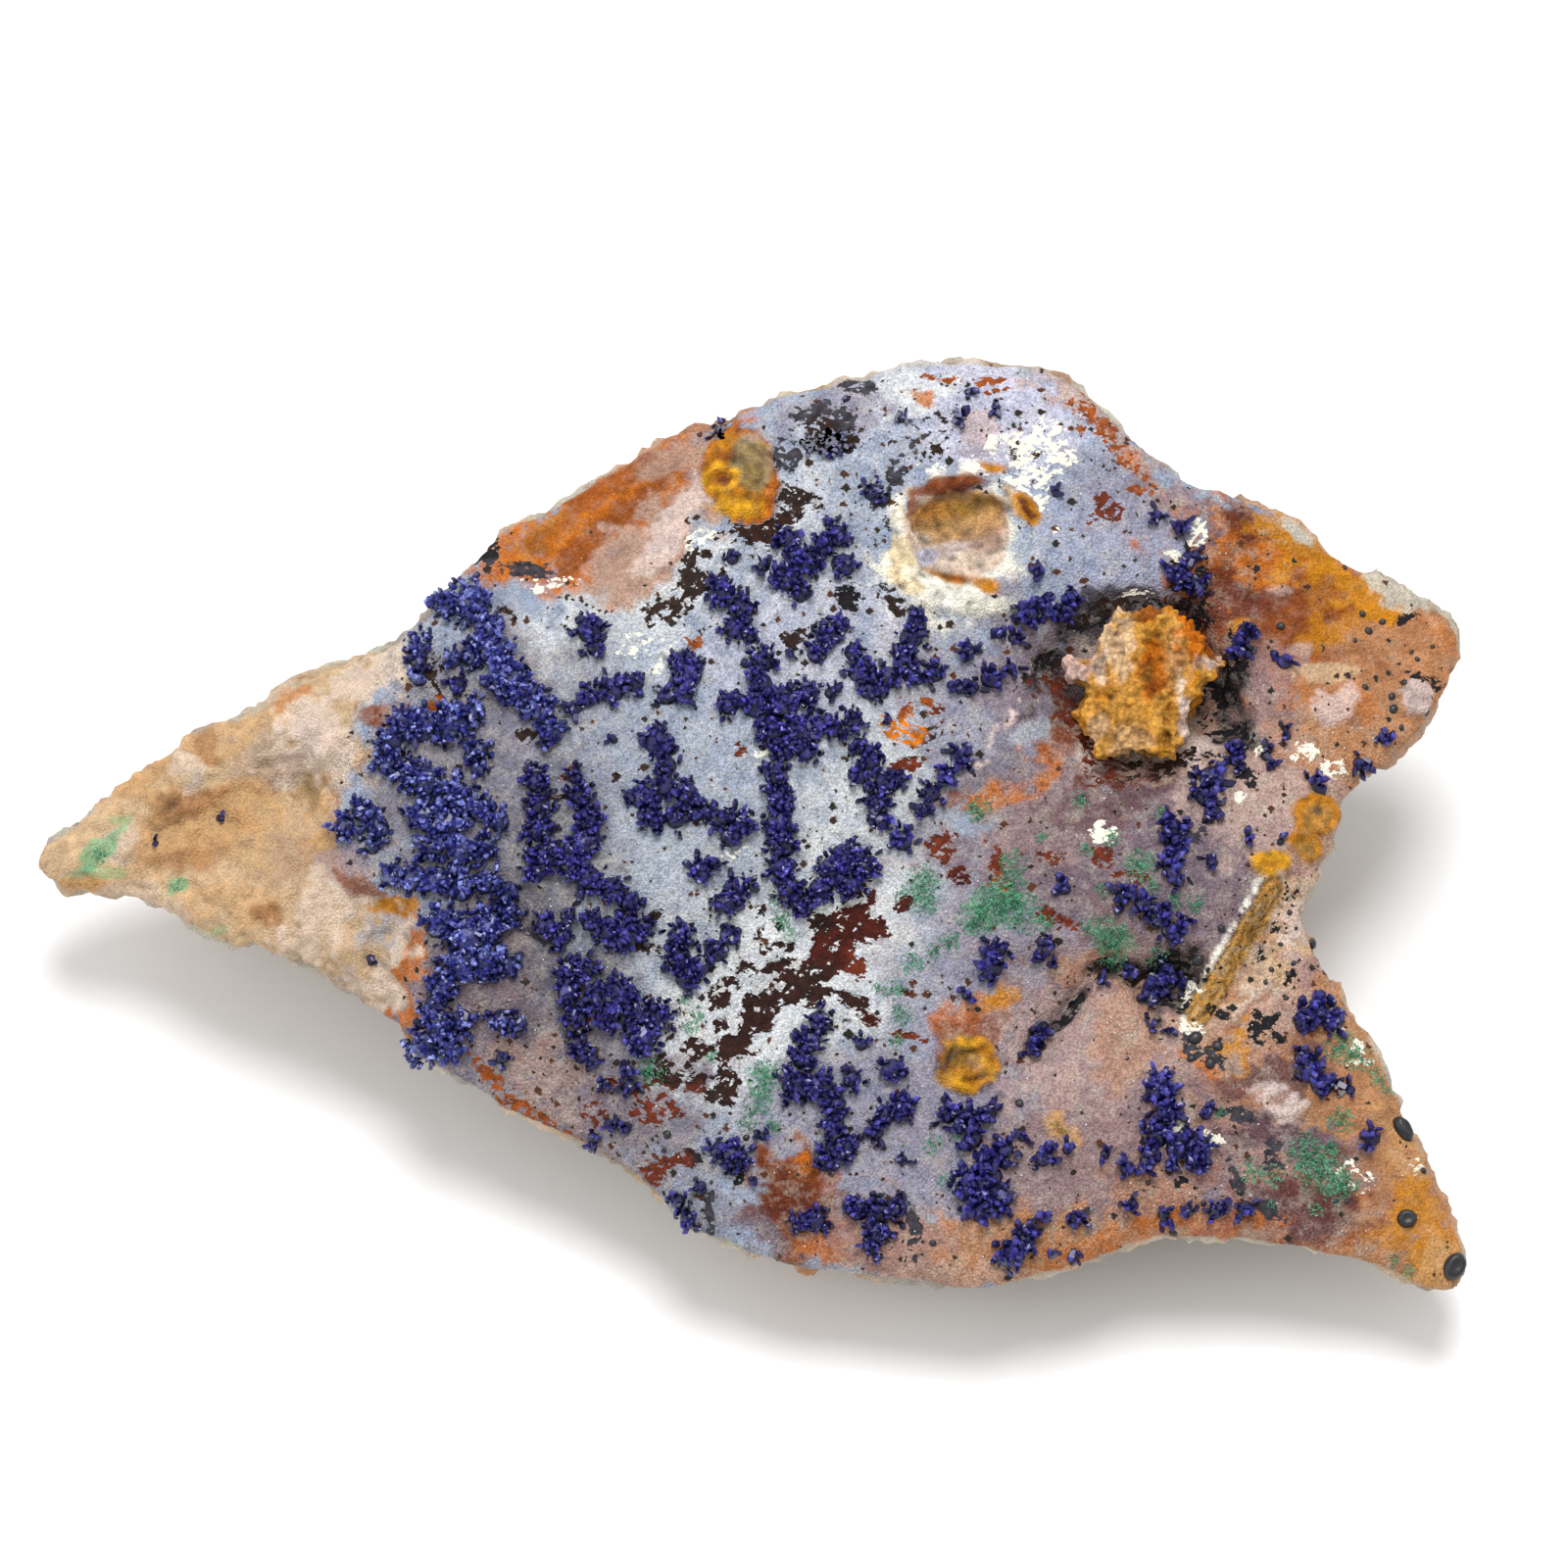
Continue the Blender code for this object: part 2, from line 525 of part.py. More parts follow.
def make_block(surface, cutter, material):
    """The limonite block: its outline raised from the cavity's floor, with a broken, bevelled top."""
    bm = bmesh.new()
    floor = face_point(surface, *BLOCK_MIDDLE)
    corners = [bm.verts.new(on_chart(x, y, floor.z / MM - SEED_DEPTH)) for x, y in BLOCK_OUTLINE]
    foot = bm.faces.new(corners)
    raised = bmesh.ops.extrude_face_region(bm, geom=[foot])
    top = [item for item in raised["geom"] if isinstance(item, bmesh.types.BMVert)]
    bmesh.ops.translate(bm, verts=top, vec=(0.0, 0.0, (BLOCK_RISE + SEED_DEPTH) * MM))
    bmesh.ops.recalc_face_normals(bm, faces=bm.faces)
    crown = [face for face in bm.faces if face.normal.z > 0.9]
    bmesh.ops.inset_region(bm, faces=crown, thickness=BLOCK_BEVEL * MM, depth=BLOCK_BEVEL * MM)
    bmesh.ops.triangulate(bm, faces=crown)
    for _ in range(2):
        crown_edges = {edge for face in bm.faces if face.normal.z > 0.9 for edge in face.edges}
        long_edges = [edge for edge in crown_edges if edge.calc_length() > BLOCK_FACET * MM]
        bmesh.ops.subdivide_edges(bm, edges=long_edges, cuts=1)
        bmesh.ops.triangulate(bm, faces=[face for face in bm.faces if face.normal.z > 0.9])
    for vert in bm.verts:
        if vert.co.z > floor.z:
            fall = (floor.y - vert.co.y) * math.tan(math.radians(FACE_FALL_DEG))
            vert.co.z += fall + BLOCK_ROUGHNESS * MM * noise.noise(vert.co / (1.7 * MM))
    bmesh.ops.triangulate(bm, faces=bm.faces)
    return new_object("limonite_block", trimmed_bodies(bm, cutter)[0], material)


def make_bead(name, place, surface, cutter, material):
    """A rounded black bead, flattened on the rock."""
    x, y, long_radius, short_radius, turn = place
    bm = bmesh.new()
    bmesh.ops.create_icosphere(bm, subdivisions=2, radius=MM)
    bmesh.ops.scale(bm, verts=bm.verts, vec=(long_radius, short_radius, BEAD_RISE))
    bmesh.ops.rotate(bm, verts=bm.verts, matrix=Matrix.Rotation(math.radians(turn), 3, "Z"))
    bmesh.ops.translate(bm, verts=bm.verts, vec=face_point(surface, x, y))
    return new_object(name, trimmed_bodies(bm, cutter)[0], material)


def stand_on_floor(pieces, cutter):
    """Tips the chart back on an empty, with the middle of the stone's plan over the origin."""
    lean = bpy.data.objects.new("lean", None)
    bpy.context.scene.collection.objects.link(lean)
    turn = Matrix.Rotation(math.radians(LEAN_DEG), 4, "X")
    corners = np.array([turn @ vert.co for piece in pieces for vert in piece.data.vertices])
    middle = (corners.min(axis=0) + corners.max(axis=0)) / 2.0
    lean.rotation_euler.x = math.radians(LEAN_DEG)
    lean.location = (-middle[0], -middle[1], FACE_HEIGHT * MM)
    for piece in [*pieces, cutter]:
        piece.parent = lean


def main():
    clear_scene()
    noise.seed_set(7)
    rock = finish_material("rock", (0.50, 0.44, 0.42), 0.75)
    limonite = finish_material("limonite", (0.47, 0.27, 0.08), 0.9)
    azurite = finish_material("azurite", (0.02, 0.02, 0.22), 0.3)
    malachite = finish_material("malachite", (0.08, 0.38, 0.22), 0.6)
    oxide = finish_material("manganese_oxide", (0.02, 0.02, 0.025), 0.4)

    matrix = make_matrix(rock)
    cutter = clearance_cutter(matrix)
    surface = BVHTree.FromObject(matrix, bpy.context.evaluated_depsgraph_get())
    pieces = [matrix, make_block(surface, cutter, limonite)]
    pieces += make_growths(
        "azurite_cluster", AZURITE, surface, cutter, azurite, *AZURITE_RISE, AZURITE_TILT_DEG
    )
    pieces += make_growths(
        "malachite_tuft", MALACHITE, surface, cutter, malachite, *MALACHITE_RISE, MALACHITE_TILT_DEG
    )
    for name, place in BEADS.items():
        pieces.append(make_bead(name, place, surface, cutter, oxide))
    stand_on_floor(pieces, cutter)


main()
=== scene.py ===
"""Azurite specimen: the look of the stone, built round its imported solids.

Places on the stone are given on its chart, a square sheet laid square on to the broad face: mm to the right
of the sheet's left edge, mm below its top edge, and heights in mm towards the viewer.
"""

import math

import bmesh
import bpy
import numpy as np
from mathutils import Matrix, Vector, noise
from mathutils.bvhtree import BVHTree


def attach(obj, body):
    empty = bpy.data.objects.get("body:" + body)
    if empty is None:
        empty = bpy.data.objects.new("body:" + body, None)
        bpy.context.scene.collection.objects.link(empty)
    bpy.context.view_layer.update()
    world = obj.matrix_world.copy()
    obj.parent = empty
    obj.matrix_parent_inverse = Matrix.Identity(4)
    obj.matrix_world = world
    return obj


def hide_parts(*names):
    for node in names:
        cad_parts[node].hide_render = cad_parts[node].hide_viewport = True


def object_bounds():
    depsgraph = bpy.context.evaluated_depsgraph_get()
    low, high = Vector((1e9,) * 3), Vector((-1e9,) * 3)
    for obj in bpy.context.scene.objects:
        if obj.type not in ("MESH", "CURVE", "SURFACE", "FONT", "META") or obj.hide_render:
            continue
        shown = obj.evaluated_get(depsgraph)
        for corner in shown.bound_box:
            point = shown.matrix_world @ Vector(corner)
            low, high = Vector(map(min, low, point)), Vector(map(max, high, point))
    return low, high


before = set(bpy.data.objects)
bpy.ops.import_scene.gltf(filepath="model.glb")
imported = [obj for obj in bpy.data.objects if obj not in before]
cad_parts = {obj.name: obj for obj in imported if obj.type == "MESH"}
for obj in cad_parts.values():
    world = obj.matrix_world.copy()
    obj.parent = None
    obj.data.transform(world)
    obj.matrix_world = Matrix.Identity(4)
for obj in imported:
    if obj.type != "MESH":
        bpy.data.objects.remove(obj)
cad_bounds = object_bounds()


# The host rock: one broken slab of iron-stained quartz, with a tapering tail of bare quartz and two horns.
# A thin crust of fine quartz crystals covers its broad face, and weathering has coloured it.
# The chart lies 30 degrees back from level, with its middle 17 mm above the floor.

MM = 0.001
CHART_MIDDLE = 50.0
CHART_CENTRE = (0.002175, 0.000641, 0.017)
CHART_LEAN = math.radians(30)
CHART_TO_STONE = Matrix.Translation(CHART_CENTRE) @ Matrix.Rotation(CHART_LEAN, 4, "X")
ROCK_SQUARE = 0.54


def moved(points, matrix):
    """An array of points moved by a matrix."""
    matrix = np.array(matrix)
    return points @ matrix[:3, :3].T + matrix[:3, 3]


def chart_point(x, y, height=0.0):
    """A place and height on the chart as a point of the stone, in metres."""
    return CHART_TO_STONE @ Vector(((x - CHART_MIDDLE) * MM, (CHART_MIDDLE - y) * MM, height * MM))


def chart_places(points):
    """Where points lie on the chart: mm right of its left edge, and mm below its top edge."""
    flat = moved(points, CHART_TO_STONE.inverted()) / MM
    return flat[:, 0] + CHART_MIDDLE, CHART_MIDDLE - flat[:, 1]


def merged_copy(name):
    """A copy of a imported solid's mesh with its loose triangles joined up."""
    bm = bmesh.new()
    bm.from_mesh(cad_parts[name].data)
    bmesh.ops.remove_doubles(bm, verts=bm.verts, dist=1e-6)
    return bm


def shown_object(name, bm):
    """A piece made from a bmesh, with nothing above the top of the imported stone."""
    for vert in bm.verts:
        vert.co.z = min(vert.co.z, cad_bounds[1][2])
    mesh = bpy.data.meshes.new(name)
    bm.to_mesh(mesh)
    bm.free()
    made = bpy.data.objects.new(name, mesh)
    bpy.context.scene.collection.objects.link(made)
    return made


def add_even_squares(piece, square):
    """Covers a piece in even squares of a size in mm."""
    even = piece.modifiers.new("even squares", "REMESH")
    even.mode = "VOXEL"
    even.voxel_size = square * MM


def add_worn_corners(piece, rounds):
    """Wears a piece's sharp corners down, further with each round."""
    worn = piece.modifiers.new("worn corners", "SMOOTH")
    worn.factor = 0.5
    worn.iterations = rounds


def settle_modifiers(piece):
    """Makes what the modifiers show the piece's own mesh."""
    graph = bpy.context.evaluated_depsgraph_get()
    final = bpy.data.meshes.new_from_object(piece.evaluated_get(graph))
    piece.modifiers.clear()
    piece.data = final


def shade_smooth(piece):
    for face in piece.data.polygons:
        face.use_smooth = True


def reshape(piece, points):
    """Moves a piece's corners to new places, and shades it smooth."""
    piece.data.vertices.foreach_set("co", points.ravel())
    piece.data.update()
    shade_smooth(piece)


def vertex_points(mesh):
    points = np.empty(len(mesh.vertices) * 3)
    mesh.vertices.foreach_get("co", points)
    return points.reshape(-1, 3)


def vertex_normals(mesh):
    normals = np.empty(len(mesh.vertices) * 3)
    mesh.vertex_normals.foreach_get("vector", normals)
    return normals.reshape(-1, 3)


def within_box(points):
    """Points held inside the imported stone's own box."""
    return np.clip(points, np.array(cad_bounds[0]), np.array(cad_bounds[1]))


def smooth(share):
    """Rises smoothly from 0 to 1 as share does."""
    held = np.clip(share, 0.0, 1.0)
    return held * held * (3.0 - 2.0 * held)


def lumps(points, size, shift=0.0):
    """Smooth random values, mostly within one of zero, that change over the given size in mm."""
    return np.array([noise.noise(Vector(point) / (size * MM) + Vector((shift,) * 3)) for point in points])


def oval(x, y, centre_x, centre_y, long_radius, short_radius, turn=0.0):
    """How far out each place is: 1 on the rim of an oval turned anticlockwise from the chart's right."""
    turn = math.radians(turn)
    right, up = x - centre_x, centre_y - y
    along = right * math.cos(turn) + up * math.sin(turn)
    across = up * math.cos(turn) - right * math.sin(turn)
    return np.hypot(along / long_radius, across / short_radius)


def path_distance(x, y, path):
    """The distance in mm from each place to the nearest stretch of a path."""
    nearest = np.full(len(x), np.inf)
    for (x0, y0), (x1, y1) in zip(path, path[1:]):
        share = ((x - x0) * (x1 - x0) + (y - y0) * (y1 - y0)) / ((x1 - x0) ** 2 + (y1 - y0) ** 2)
        share = np.clip(share, 0.0, 1.0)
        nearest = np.minimum(nearest, np.hypot(x - x0 - share * (x1 - x0), y - y0 - share * (y1 - y0)))
    return nearest


rock = shown_object("host_rock", merged_copy("matrix"))
rock.data.transform(CHART_TO_STONE.inverted())
add_even_squares(rock, ROCK_SQUARE)
settle_modifiers(rock)

# Only the broad face needs the finest squares
bm = bmesh.new()
bm.from_mesh(rock.data)
broad_face = {edge for face in bm.faces if face.normal.z > 0.5 for edge in face.edges}
bmesh.ops.subdivide_edges(bm, edges=list(broad_face), cuts=1, use_grid_fill=True)
bmesh.ops.triangulate(bm, faces=bm.faces)
bmesh.ops.transform(bm, matrix=CHART_TO_STONE, verts=bm.verts)
bm.to_mesh(rock.data)
bm.free()
add_worn_corners(rock, 9)
settle_modifiers(rock)

rock_points = vertex_points(rock.data)
rock_x, rock_y = chart_places(rock_points)
chart_normals = vertex_normals(rock.data) @ np.array(CHART_TO_STONE.to_3x3())
facing = smooth((chart_normals[:, 2] - 0.15) / 0.35)
broad = lumps(rock_points, 4.0)
middling = lumps(rock_points, 1.5, 3.0)
fine = lumps(rock_points, 0.65, 7.0)
tiny = lumps(rock_points, 0.4, 9.0)

# The tail is bare quartz as far as the crust's edge. A slip of fibrous limonite runs beside the lower horn,
# and a nodule of folded limonite sits low on the face: its place, long and short radius
CRUST_EDGE = [
    (25.6, 40.0), (23.4, 44.2), (21.8, 47.6), (20.9, 52.4), (22.4, 56.2), (26.2, 58.0), (26.0, 66.4),
]
SLIP_RIDGE = [(81.0, 56.6), (76.2, 64.5)]
NODULE = (61.75, 67.7, 1.9, 1.8)
# Extra relief on the broad face, too fine for the solid: place, long and short radius, turn, height
SMALL_RELIEF = [
    (47.2, 30.1, 2.2, 2.9, 15.0, 0.35), (46.1, 30.5, 0.55, 0.55, 0.0, -0.3),
    (61.2, 33.2, 2.9, 1.7, 10.0, -0.5), (54.2, 38.3, 0.75, 0.75, 0.0, -0.35), (*NODULE, 0.0, 0.3),
    (83.9, 52.0, 1.5, 1.4, 0.0, 0.35), (83.2, 54.0, 1.2, 0.9, -20.0, 0.35),
    (80.9, 55.0, 1.2, 0.75, 0.0, 0.5), (51.2, 61.9, 4.4, 1.7, 47.0, -0.2),
    (60.9, 38.3, 3.4, 0.7, -8.0, 0.3), (57.7, 35.6, 0.8, 2.2, 12.0, 0.3),
    (65.7, 32.4, 0.35, 0.9, 30.0, -0.3), (85.2, 45.2, 1.3, 1.1, 0.0, 0.3), (90.5, 44.4, 1.1, 1.3, 0.0, 0.3),
    (81.5, 70.3, 1.9, 0.9, 0.0, 0.35), (11.8, 49.2, 1.3, 1.1, 0.0, 0.4), (7.6, 53.9, 1.1, 0.9, 0.0, 0.35),
    (17.9, 49.6, 1.5, 1.2, 0.0, -0.35),
]

# Heights in mm, square on to the broad face: a light grain, then the ovals, the slip, the nodule and the tail
relief = 0.10 * middling + 0.07 * fine + 0.05 * tiny
for centre_x, centre_y, long_radius, short_radius, turn, rise in SMALL_RELIEF:
    out = oval(rock_x, rock_y, centre_x, centre_y, long_radius, short_radius, turn)
    relief += rise * smooth((1.15 - out - 0.12 * fine) / 0.3)
ridge = path_distance(rock_x, rock_y, SLIP_RIDGE)
relief += 0.3 * smooth((0.9 + 0.3 * middling - ridge) / 0.3) * (0.7 + 0.5 * np.sin(ridge * 9.0 + middling))
nodule = oval(rock_x, rock_y, *NODULE) + 0.12 * fine
relief += 0.16 * np.sin(nodule * 15.0) * smooth((1.05 - nodule) / 0.15)
edge_x, edge_y = zip(*CRUST_EDGE)
tail = smooth(np.interp(rock_y, edge_y, edge_x) - rock_x + 0.5)
chunks = np.abs(lumps(rock_points, 2.6, 12.0)) + 0.5 * np.abs(lumps(rock_points, 1.2, 13.0))
relief += tail * (0.9 * chunks - 0.3 + 0.12 * fine)

# The broken sides, in mm too: scooped hollows between ridges, with a few thin cracks
scoops = np.abs(lumps(rock_points, 3.6, 5.0))
chips = np.abs(lumps(rock_points, 1.7, 6.0))
cracks = np.abs(lumps(rock_points, 6.0, 8.0) + 0.12 * middling + 0.06 * fine)
broken = 0.4 - 1.6 * scoops - 0.9 * chips + 0.16 * fine + 0.06 * tiny
broken -= 0.35 * smooth((0.05 - cracks) / 0.05)
base = smooth((rock_points[:, 2] / MM - 0.02) / 0.9)
push = facing * relief + (1.0 - facing) * broken * base
rock_points += vertex_normals(rock.data) * (push * MM)[:, None]
rock_points = within_box(rock_points)
reshape(rock, rock_points)

# The stone's colours, as a screen shows them
PALETTE = {
    "crust blue": (158, 168, 188),
    "crust pale": (170, 178, 190),
    "crust white": (216, 219, 222),
    "periwinkle": (160, 166, 190),
    "lavender": (198, 198, 218),
    "grey lavender": (146, 142, 160),
    "dusk": (128, 110, 122),
    "plum": (96, 66, 72),
    "warm grey": (122, 116, 128),
    "mauve": (150, 122, 122),
    "pink tan": (178, 142, 124),
    "pale pink": (190, 160, 150),
    "pink white": (216, 194, 186),
    "horn tan": (182, 128, 88),
    "tan": (196, 150, 98),
    "cream": (208, 176, 138),
    "bone": (216, 194, 174),
    "chalk": (252, 247, 230),
    "peach": (250, 226, 182),
    "gold": (198, 128, 14),
    "bright gold": (222, 160, 26),
    "amber": (190, 122, 8),
    "olive": (128, 98, 34),
    "honey grey": (152, 128, 84),
    "ochre": (188, 138, 64),
    "orange": (190, 104, 18),
    "rust": (132, 64, 20),
    "dark rust": (92, 36, 16),
    "red brown": (62, 17, 8),
    "chestnut": (42, 20, 14),
    "dark brown": (40, 26, 20),
    "soot and shade": (44, 36, 42),
    "black": (24, 22, 25),
    "charcoal": (54, 52, 58),
    "quartz grey": (200, 192, 174),
    "verdigris": (110, 178, 130),
    "malachite green": (74, 140, 104),
}


def linear(colour):
    """A colour of the palette as the linear values that a shader takes."""
    share = np.array(PALETTE[colour]) / 255.0
    return np.where(share <= 0.04045, share / 12.92, ((share + 0.055) / 1.055) ** 2.4)


def laid_over(base, amount, colour):
    """Linear colours with a share of a palette colour laid over each."""
    return base + amount[:, None] * (linear(colour) - base)


# The colours of the face, laid on in order: colour, place, long and short radius, turn, strength
SKIN = [
    ("pink tan", 82, 56, 22, 22, 0, 1), ("horn tan", 91, 42, 10, 9, -10, 1),
    ("horn tan", 80, 80, 16, 3.6, -8, 0.9), ("mauve", 72, 72, 14, 10, 0, 1),
    ("horn tan", 86, 70, 9, 15, 22, 1), ("crust pale", 47, 53, 22, 19, 35, 1),
    ("crust white", 50, 62, 11, 5, 40, 0.95), ("crust white", 40, 39.5, 8, 3.2, 20, 0.8),
    ("crust white", 51, 32, 4, 4, 0, 0.6), ("warm grey", 32, 50, 8, 10, 0, 0.85),
    ("warm grey", 33, 66, 9, 8, -20, 0.95), ("mauve", 30, 63, 4, 6, 0, 0.4),
    ("pink tan", 37, 70, 6, 2.4, -35, 0.6), ("crust blue", 44, 47, 8, 8, 0, 0.5),
    ("lavender", 52, 41.5, 6, 5.5, 0, 0.5), ("crust white", 58, 47.5, 4, 5, 0, 0.45),
    ("soot and shade", 34.5, 60.5, 5.5, 5, 0, 0.32), ("crust white", 54.5, 50.5, 2.6, 4.5, -20, 0.5),
    ("grey lavender", 62, 46, 4, 6, 20, 0.8), ("dusk", 66, 43, 4, 5, 0, 0.75),
    ("grey lavender", 56, 72, 9, 6, 0, 0.85), ("grey lavender", 60.5, 70.5, 4, 4, 0, 0.5),
    ("grey lavender", 60, 64, 4, 6, 0, 0.55), ("warm grey", 41, 71.5, 5, 3, -30, 0.9),
    ("dusk", 39.5, 70.5, 4, 2, -30, 0.35), ("warm grey", 45, 77, 3, 2, -20, 0.6),
    ("lavender", 62, 25.5, 9, 4, -5, 0.95), ("crust white", 57.6, 25.2, 2.6, 2.2, 30, 0.9),
    ("crust blue", 55.5, 32, 3, 4.5, 0, 0.8), ("periwinkle", 70.5, 34.5, 5, 4, -30, 0.9),
    ("grey lavender", 72, 31, 4, 3, -40, 0.8), ("grey lavender", 53, 26, 4, 1.8, 15, 0.85),
    ("dusk", 70, 54.5, 11, 5.5, 5, 0.95), ("mauve", 66, 52, 5, 3, 0, 0.7),
    ("mauve", 72, 60, 9, 2.6, 5, 0.8), ("grey lavender", 64, 60.5, 5, 3.5, 0, 0.7),
    ("dusk", 77, 57.5, 4.5, 4.5, 0, 0.85), ("soot and shade", 72, 55.5, 7, 4, 0, 0.2),
    ("plum", 72, 50.2, 3.6, 1.3, 5, 0.7), ("plum", 68.5, 58, 3, 2, 0, 0.3),
    ("pale pink", 81, 51, 5, 4, 0, 0.7), ("mauve", 79.6, 44.6, 2.6, 3, 0, 0.85),
    ("mauve", 66.6, 63.3, 4, 2.3, 20, 0.8), ("horn tan", 69.4, 61.6, 2.4, 1.0, 20, 0.6),
    ("pale pink", 70, 67, 6, 4, 20, 0.85), ("dusk", 69.5, 68.5, 6, 4.5, 0, 0.3),
    ("horn tan", 71.5, 65.8, 2.4, 3.4, -20, 0.5), ("mauve", 69.5, 74, 9, 3.5, 0, 0.8),
    ("horn tan", 72.5, 76.5, 3.5, 2.5, 20, 0.6), ("orange", 61.8, 64.4, 2.6, 1.2, 30, 0.8),
    ("gold", 64.0, 63.4, 1.2, 0.7, 30, 0.8), ("plum", 69.6, 51.8, 3.0, 1.1, 8, 0.6),
    ("orange", 64.6, 50.2, 3.4, 1.0, 30, 0.9), ("rust", 61.0, 50.9, 1.7, 0.5, 30, 0.7),
    ("warm grey", 63.6, 49.0, 1.6, 1.9, 30, 0.9), ("crust pale", 66.0, 46.9, 1.6, 0.8, 30, 0.7),
    ("pink white", 63.6, 46.8, 0.3, 2.2, -30, 0.9), ("pink white", 72.4, 47.9, 4.4, 1.6, 0, 0.75),
    # The dark marks from the one at 67.2, 43.2 to the one at 79.2, 46.9 lie about the limonite block: partly
    # dark rock and partly painted shadow of the block, darkest on its right
    ("pink white", 76.8, 47.5, 1.0, 1.7, -30, 0.8), ("soot and shade", 67.2, 43.2, 1.6, 2.2, 0, 0.85),
    ("soot and shade", 69.2, 39.8, 1.5, 1.3, 0, 0.85), ("soot and shade", 71.6, 38.2, 2.8, 0.9, 5, 0.85),
    ("soot and shade", 76.4, 38.2, 1.7, 1.9, -20, 0.85), ("soot and shade", 76.0, 35.6, 1.3, 1.8, 10, 0.6),
    ("soot and shade", 78.5, 42.6, 0.9, 2.4, -20, 0.9), ("soot and shade", 77.9, 45.0, 1.1, 2.2, -35, 0.95),
    ("soot and shade", 79.2, 46.9, 1.6, 0.9, -30, 0.85), ("dark rust", 72.4, 49.3, 3.2, 1.0, 8, 0.8),
    # The dark mark at 74.4, 62.4, where an azurite cluster stands, is partly dark rock and partly painted
    # shadow
    ("dark rust", 68.4, 45.6, 1.4, 2.0, 20, 0.85), ("soot and shade", 74.4, 62.4, 2.1, 1.9, 0, 0.85),
    ("soot and shade", 71.4, 61.9, 2.4, 0.6, 0, 0.75), ("soot and shade", 67.9, 64.7, 2.2, 0.4, 47, 0.85),
    ("rust", 67.6, 47.6, 1.6, 1.0, 30, 0.6),
    # Green stains under the malachite
    ("malachite green", 83.9, 74.6, 1.4, 1.2, 0, 0.75), ("malachite green", 63.4, 57.8, 2.0, 1.3, 10, 0.5),
    ("malachite green", 70.7, 60.0, 1.4, 1.0, 0, 0.5), ("malachite green", 48.7, 69.0, 0.8, 1.3, 0, 0.5),
    ("malachite green", 58.8, 56.8, 0.7, 1.2, 0, 0.45), ("verdigris", 85.8, 66.8, 1.0, 1.0, 0, 0.5),
    ("malachite green", 72.6, 55.3, 0.8, 0.5, 0, 0.4), ("malachite green", 62.4, 51.7, 0.7, 0.4, 0, 0.4),
    # The orange hollow and the amber eye beside it
    ("orange", 38.7, 31.5, 8.8, 3.9, 37, 1), ("rust", 39.4, 32.8, 6.4, 0.8, 42, 0.75),
    ("amber", 35.6, 33.0, 3.2, 1.2, 37, 0.7), ("rust", 34.4, 34.2, 1.4, 0.9, 30, 0.6),
    ("amber", 39.8, 29.9, 2.6, 0.8, 37, 0.5), ("pink tan", 43.0, 28.7, 3.4, 1.2, 25, 0.85),
    ("orange", 37.2, 31.6, 3.6, 1.6, 37, 1), ("rust", 38.4, 31.0, 4.4, 0.8, 37, 0.6),
    ("pink tan", 42.2, 34.1, 5.6, 2.1, 47, 1), ("pink white", 42.7, 33.6, 4.1, 1.1, 47, 0.85),
    ("pink tan", 39.5, 36.0, 2.4, 1.6, 47, 1), ("pink white", 41.4, 35.4, 1.6, 0.6, 47, 0.6),
    ("chalk", 61.0, 35.0, 4.4, 4.0, 10, 0.9), ("orange", 59.0, 25.4, 0.6, 0.6, 0, 0.9),
    ("pale pink", 62.2, 27.2, 1.1, 0.8, 0, 0.6), ("mauve", 62.3, 28.6, 1.3, 0.5, 0, 0.5),
    # The top edge and the upper horn
    ("pale pink", 68.6, 24.6, 2.8, 1.8, -40, 0.9), ("orange", 69.4, 24.2, 2.4, 0.5, -38, 0.8),
    ("pink tan", 71.4, 27.8, 3.0, 0.9, -48, 0.7), ("orange", 72.8, 29.6, 2.4, 0.4, -48, 0.7),
    ("mauve", 75.0, 31.4, 3.0, 1.4, -25, 0.8), ("plum", 79.0, 34.6, 3.0, 3.4, -30, 0.8),
    ("orange", 85.0, 38.6, 9, 5.5, -30, 1), ("horn tan", 88.6, 42.4, 4.4, 4.4, 0, 0.9),
    ("rust", 82.0, 38.4, 5.2, 2.8, -5, 0.9), ("dark rust", 80.8, 35.4, 2.2, 2.6, -20, 0.5),
    ("plum", 79.6, 38.8, 2.4, 1.4, 0, 0.4), ("dark rust", 80.6, 37.0, 2.8, 1.8, -20, 0.5),
    ("rust", 83.6, 39.6, 3.2, 1.0, -10, 0.5), ("dark rust", 79.8, 33.2, 1.6, 0.9, -10, 0.85),
    ("amber", 82.6, 34.2, 3.6, 1.2, -35, 0.9), ("orange", 81.6, 36.0, 2.6, 1.2, -20, 0.8),
    ("gold", 86.3, 37.7, 3.8, 1.5, -24, 0.95), ("amber", 85.0, 40.2, 2.4, 1.3, 0, 0.75),
    ("rust", 84.8, 37.6, 1.2, 1.0, 0, 0.6), ("rust", 86.6, 42.4, 3.4, 0.9, -10, 0.45),
    ("mauve", 81.0, 42.6, 2.4, 1.6, 0, 0.7), ("horn tan", 86.4, 46.4, 4.2, 3.2, 40, 0.8),
    ("orange", 86.0, 45.0, 2.6, 1.0, 0, 0.5), ("pink white", 85.3, 45.2, 1.3, 1.1, 0, 0.75),
    ("cream", 84.6, 42.9, 1.8, 0.5, 0, 0.8), ("pink white", 82.0, 37.6, 0.9, 0.25, 0, 0.4),
    ("pale pink", 90.4, 44.5, 1.1, 1.4, 0, 0.95), ("quartz grey", 83.4, 33.6, 1.2, 0.6, -35, 0.95),
    ("quartz grey", 89.6, 37.6, 2.8, 1.0, -25, 0.95), ("gold", 79.1, 40.0, 0.6, 0.7, 0, 0.9),
